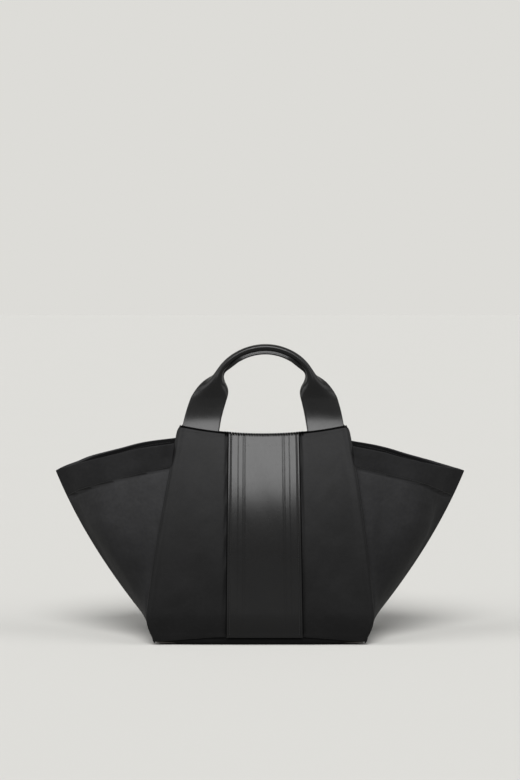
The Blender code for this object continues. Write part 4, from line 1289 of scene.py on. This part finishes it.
def strap_walk(roll, width, bend, power, edge):
    """(across, out, direction) from the middle of the strap's section to its edge, and its mean out."""
    full = grip_half_profile()[2]
    walk, mean = [(0.0, 0.0, 0.0)], 0.0
    for k in range(STRAP_STEPS):
        share = (k + 0.5) / STRAP_STEPS
        angle = roll * mix(bend * share**power, rolled_angle(share * full), roll) + edge * share**4
        across, out, _ = walk[-1]
        step = width / 2 / STRAP_STEPS
        walk.append((across + step * math.cos(angle), out - step * math.sin(angle), angle))
        mean += walk[-1][1] / STRAP_STEPS
    return walk, mean


def strap_section(roll, width, shares, edge):
    """(across, out, direction) of the strap at each share of its width, from -1 inside the arch to 1."""
    halves = {-1: strap_walk(roll, width, *INNER_CURL, edge), 1: strap_walk(roll, width, *OUTER_CURL, 0.0)}
    shift = mix(-(halves[-1][1] + halves[1][1]) / 2, GRIP_RADIUS, roll)
    places = []
    for share in shares:
        hand = 1 if share >= 0 else -1
        walk = halves[hand][0]
        spot = abs(share) * (len(walk) - 1)
        k = min(int(spot), len(walk) - 2)
        across, out, angle = (mix(p, q, spot - k) for p, q in zip(walk[k], walk[k + 1]))
        places.append((hand * across, out + shift, hand * angle))
    return places


def handle_curve():
    """The arch's radius, the length of the straight strap below it, and the length up to the top."""
    radius = HANDLE_SPACING / 2 * math.cos(STRAP_SLOPE) - HANDLE_RISE * math.sin(STRAP_SLOPE)
    radius /= 1 - math.sin(STRAP_SLOPE)
    straight = (HANDLE_RISE - radius * (1 - math.sin(STRAP_SLOPE))) / math.cos(STRAP_SLOPE)
    return radius, straight, straight + radius * (math.pi / 2 - STRAP_SLOPE)


def handle_path(length):
    """Place and direction of the handle's middle, sideways and up, at a length from its hinge."""
    radius, straight, _ = handle_curve()
    slope = STRAP_SLOPE + max(0.0, length - straight) / radius
    if length < straight:
        x, h = HANDLE_SPACING / 2 - length * math.sin(slope), length * math.cos(slope)
    else:
        x, h = radius * math.cos(slope), HANDLE_RISE - radius * (1 - math.sin(slope))
    return x, h, -math.sin(slope), math.cos(slope)


def tab_row(side, depth, shares):
    """(point, outward) across the sewn-in end of a strap, at a depth below its hinge."""
    z = HINGE_HEIGHT - TAB_HEAD - depth * TAB_STRETCH
    middle = HANDLE_SPACING / 2 + TAB_SPREAD * min(1.0, depth / TAB_DEPTH)
    row = []
    for share in shares:
        x = middle + share * HANDLE_WIDTH / 2
        slack = panel_slack(side, x, z) * eased(depth / TAB_SLACK_RUN)
        point = panel_point(side, x, z, HANDLE_INSET - slack)
        lean = point - panel_point(side, x, z - STRAP_PROBE, HANDLE_INSET)
        row.append((point, Vector((0, side, -side * lean.y / STRAP_PROBE)).normalized()))
    return row


def strap_row(side, length, shares):
    """(point, outward) of the strap's middle layer across its width, at a length above its hinge."""
    if length < 0:
        return tab_row(side, -length, shares)
    origin = Vector((0, side * (half_depth(HINGE_HEIGHT) - HANDLE_INSET), HINGE_HEIGHT))
    face = Vector((0, side * math.cos(HANDLE_LEAN), math.sin(HANDLE_LEAN)))
    up = Vector((0, -side * math.sin(HANDLE_LEAN), math.cos(HANDLE_LEAN)))
    sideways = Vector((1, 0, 0))
    x, h, along_x, along_h = handle_path(length)
    roll = eased((length - ROLL_START) / ROLL_LENGTH) ** ROLL_HASTE
    turn = math.pi / 2 * eased((length - TURN_START) / TURN_LENGTH)
    width = mix(HANDLE_WIDTH, 2 * grip_half_profile()[2], roll)
    square = sideways * along_h - up * along_x
    outward = sideways.lerp(square, eased((length - SQUARE_START) / SQUARE_LENGTH)).normalized()
    out = face * math.cos(turn) + outward * math.sin(turn)
    across_axis = outward * math.cos(turn) - face * math.sin(turn)
    edge = bell(length, CURL_PLACE, CURL_SPREAD)
    middle = origin + sideways * x + up * h + outward * CURL_SHIFT * edge
    row = []
    for across, depth, angle in strap_section(roll, width, shares, EDGE_CURL * edge):
        normal = out * math.cos(angle) + across_axis * math.sin(angle)
        row.append((middle + across_axis * across + out * depth, normal))
    return row


def leaned(point):
    """The handles lean sideways with the mouth, and a little more towards their tops."""
    above_hinge = max(0.0, point.z - HINGE_HEIGHT) / HANDLE_RISE
    return point + Vector((LEAN + ARCH_LEAN * above_hinge, 0, 0))


def handle_rows(side, shares):
    """Rows of (point, outward) from the sewn-in end on the right over the grip to the one on the left."""
    lengths = [start + k * pitch for start, pitch, count in ROW_RUNS for k in range(count)]
    lengths += [mix(ARCH_ROWS_START, handle_curve()[2], k / ARCH_ROWS) for k in range(ARCH_ROWS + 1)]
    rows = [strap_row(side, place, shares) for place in sorted(set(lengths))]
    for _ in range(BEND_ROUNDS):
        for k in BEND_ROWS:
            rows[k] = [
                ((a[0] + b[0] * 2 + c[0]) / 4, (a[1] + b[1] * 2 + c[1]).normalized())
                for a, b, c in zip(rows[k - 1], rows[k], rows[k + 1])
            ]
    flip = Vector((-1, 1, 1))
    mirrored = [[(p * flip, n * flip) for p, n in row] for row in rows[-2::-1]]
    return [[(leaned(p), n) for p, n in row] for row in rows + mirrored]


class BAG_OT_handles(bpy.types.Operator):
    """The rolled leather handles, each with its sewn-in ends, which bend where the strap leaves the rim"""

    bl_idname = "bag.handles"
    bl_label = "Handles"

    def execute(self, context):
        places = stations(HANDLE_WIDTH, 44, LEATHER / 2)
        shares = [2 * u - 1 for u, _ in places]
        for name, side in SIDES:
            body = f"{name}_handle"
            rows = handle_rows(side, shares)
            full_along = [0.0, 0.9] + [1.0] * (len(rows) - 4) + [0.9, 0.0]
            outer, inner, fullness = [], [], []
            for row, v_full in zip(rows, full_along):
                full = [u_full * v_full for _, u_full in places]
                waves = [n * (HANDLE_WAVE * ripple(p.x, p.z, HANDLE_FOLD, 71.0 + side)) for p, n in row]
                outer.append([p + w + n * (LEATHER / 2 * f) for (p, n), w, f in zip(row, waves, full)])
                inner.append([p + w - n * (LEATHER / 2 * f) for (p, n), w, f in zip(row, waves, full)])
                fullness.append(full)
            points, faces, flats = two_faced(outer, inner, fullness)
            piece = add_piece(
                f"{name}_handle_leather", points, faces, finish("smooth leather"), "leather", None, flats,
                (f"{name}_handle", f"{name}_left_tab", f"{name}_right_tab"),
            )
            hinge_y = side * (half_depth(HINGE_HEIGHT) - HANDLE_INSET)
            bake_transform(piece)
            tracks = []
            for share in (-GRIP_STITCH_PLACE, GRIP_STITCH_PLACE):
                rolled = handle_rows(side, [share])[GRIP_STITCH_ROWS:-GRIP_STITCH_ROWS]
                tracks.append([(p + n * (LEATHER / 2), n) for (p, n), in rolled])
            stitches(f"{name}_grip_stitches", tracks, "leather", body)
            middle = handle_rows(side, [0.0])[CORE_ROWS:-CORE_ROWS]
            cord = [[(p - n * GRIP_RADIUS, n) for (p, n), in middle]]
            radius = GRIP_RADIUS - LEATHER / 2 - LAYER_GAP
            piece = tube(f"{name}_grip_cord", cord, [radius], finish("cotton cord"), "cord", body)
            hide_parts(f"{name}_handle_core")
        return {"FINISHED"}


class BAG_OT_hardware(bpy.types.Operator):
    """Plated finish on the snap, its washers, the zip slider and its pull"""

    bl_idname = "bag.hardware"
    bl_label = "Hardware"

    def execute(self, context):
        snap = ["snap_socket", "snap_stud", "snap_socket_washer", "snap_stud_washer"]
        for name in snap + ["zip_slider", "zip_pull"]:
            bpy.data.objects[name].material_slots[0].material = finish("plated metal")
        return {"FINISHED"}


# Stage

def lay_floor(stage):
    bpy.ops.mesh.primitive_plane_add(size=60.0)
    floor = bpy.context.object
    floor.name = "floor"
    made, tree, shader = surface("floor paper")
    grain = blotches(tree, object_place(tree), 3.0)
    feed(tree, shader, {
        "Base Color": shaded(tree, stage.floor, grain, 0.995, 1.005),
        "Roughness": 1.0,
        "Specular IOR Level": 0.0,
    })
    floor.data.materials.append(made)


def light_room(stage):
    """Even light from all round; what the camera, metal and glass see there is the backdrop."""
    world = bpy.data.worlds.new("studio")
    bpy.context.scene.world = world
    world.use_nodes = True
    tree = world.node_tree
    tree.nodes.clear()
    ray = node(tree, "ShaderNodeLightPath").outputs
    seen = reckoned(tree, "MAXIMUM", ray["Is Camera Ray"], ray["Is Glossy Ray"])
    seen = reckoned(tree, "MAXIMUM", seen, ray["Is Transmission Ray"])
    room = node(tree, "ShaderNodeBackground", {"Color": (1, 1, 1, 1), "Strength": stage.fill})
    pale = node(tree, "ShaderNodeBackground", {"Color": stage.backdrop, "Strength": 1.0})
    both = node(tree, "ShaderNodeMixShader", {0: seen, 1: room.outputs[0], 2: pale.outputs[0]})
    node(tree, "ShaderNodeOutputWorld", {0: both.outputs[0]})


def hang_lamp(name, energy, width, azimuth, elevation):
    """A soft lamp as wide as an angle, from an azimuth counted from the front to the right."""
    lamp = bpy.data.lights.new(name, "SUN")
    lamp.energy = energy
    lamp.angle = math.radians(width)
    placed = bpy.data.objects.new(name, lamp)
    turn, rise = math.radians(azimuth), math.radians(elevation)
    level = math.cos(rise)
    travel = Vector((-math.sin(turn) * level, math.cos(turn) * level, -math.sin(rise)))
    placed.rotation_euler = travel.to_track_quat("-Z", "Y").to_euler()
    bpy.context.scene.collection.objects.link(placed)


def set_camera(stage):
    camera = bpy.data.cameras.new("camera")
    camera.sensor_fit = "VERTICAL"
    camera.sensor_height = 36.0
    camera.lens = stage.lens
    spot = bpy.data.objects.new("camera", camera)
    rise, level = math.sin(stage.camera_elevation), math.cos(stage.camera_elevation)
    spot.location = (0, -stage.camera_distance * level, stage.aim_height + stage.camera_distance * rise)
    spot.rotation_euler = (math.pi / 2 - stage.camera_elevation, 0, 0)
    bpy.context.scene.collection.objects.link(spot)
    bpy.context.scene.camera = spot


class BAG_OT_stage(bpy.types.Operator):
    """Plain pale floor and backdrop, three soft lamps and the camera"""

    bl_idname = "bag.stage"
    bl_label = "Stage"

    def execute(self, context):
        stage = context.scene.bag_stage
        lay_floor(stage)
        light_room(stage)
        hang_lamp("key_lamp", stage.lamp, 32, -1, 44)
        hang_lamp("left_lamp", stage.side_lamp, 44, -64, 36)
        hang_lamp("right_lamp", stage.side_lamp * 0.75, 44, 66, 36)
        set_camera(stage)
        context.scene.view_settings.view_transform = "Standard"
        return {"FINISHED"}


OPERATORS = (
    BAG_OT_panels, BAG_OT_wings, BAG_OT_base, BAG_OT_band, BAG_OT_facings, BAG_OT_lining, BAG_OT_zip,
    BAG_OT_handles, BAG_OT_hardware, BAG_OT_stage,
)


class BAG_PT_sidebar(bpy.types.Panel):
    """Lists the bag's pieces, sizes and colours"""

    bl_idname = "BAG_PT_sidebar"
    bl_label = "Shopper bag"
    bl_space_type = "VIEW_3D"
    bl_region_type = "UI"
    bl_category = "Shopper bag"

    def draw(self, context):
        for operator in OPERATORS:
            self.layout.operator(operator.bl_idname)
        for group in (context.scene.bag_sizes, context.scene.bag_colours, context.scene.bag_stage):
            column = self.layout.column()
            for name in group.__annotations__:
                column.prop(group, name)


CLASSES = (BagSizes, BagColours, BagStage, *OPERATORS, BAG_PT_sidebar)


def register():
    for made in CLASSES:
        bpy.utils.register_class(made)
    bpy.types.Scene.bag_sizes = bpy.props.PointerProperty(type=BagSizes)
    bpy.types.Scene.bag_colours = bpy.props.PointerProperty(type=BagColours)
    bpy.types.Scene.bag_stage = bpy.props.PointerProperty(type=BagStage)


def unregister():
    del bpy.types.Scene.bag_stage, bpy.types.Scene.bag_colours, bpy.types.Scene.bag_sizes
    for made in reversed(CLASSES):
        bpy.utils.unregister_class(made)


def main():
    register()
    for operator in OPERATORS:
        group, name = operator.bl_idname.split(".")
        getattr(getattr(bpy.ops, group), name)()


if __name__ == "__main__":
    main()
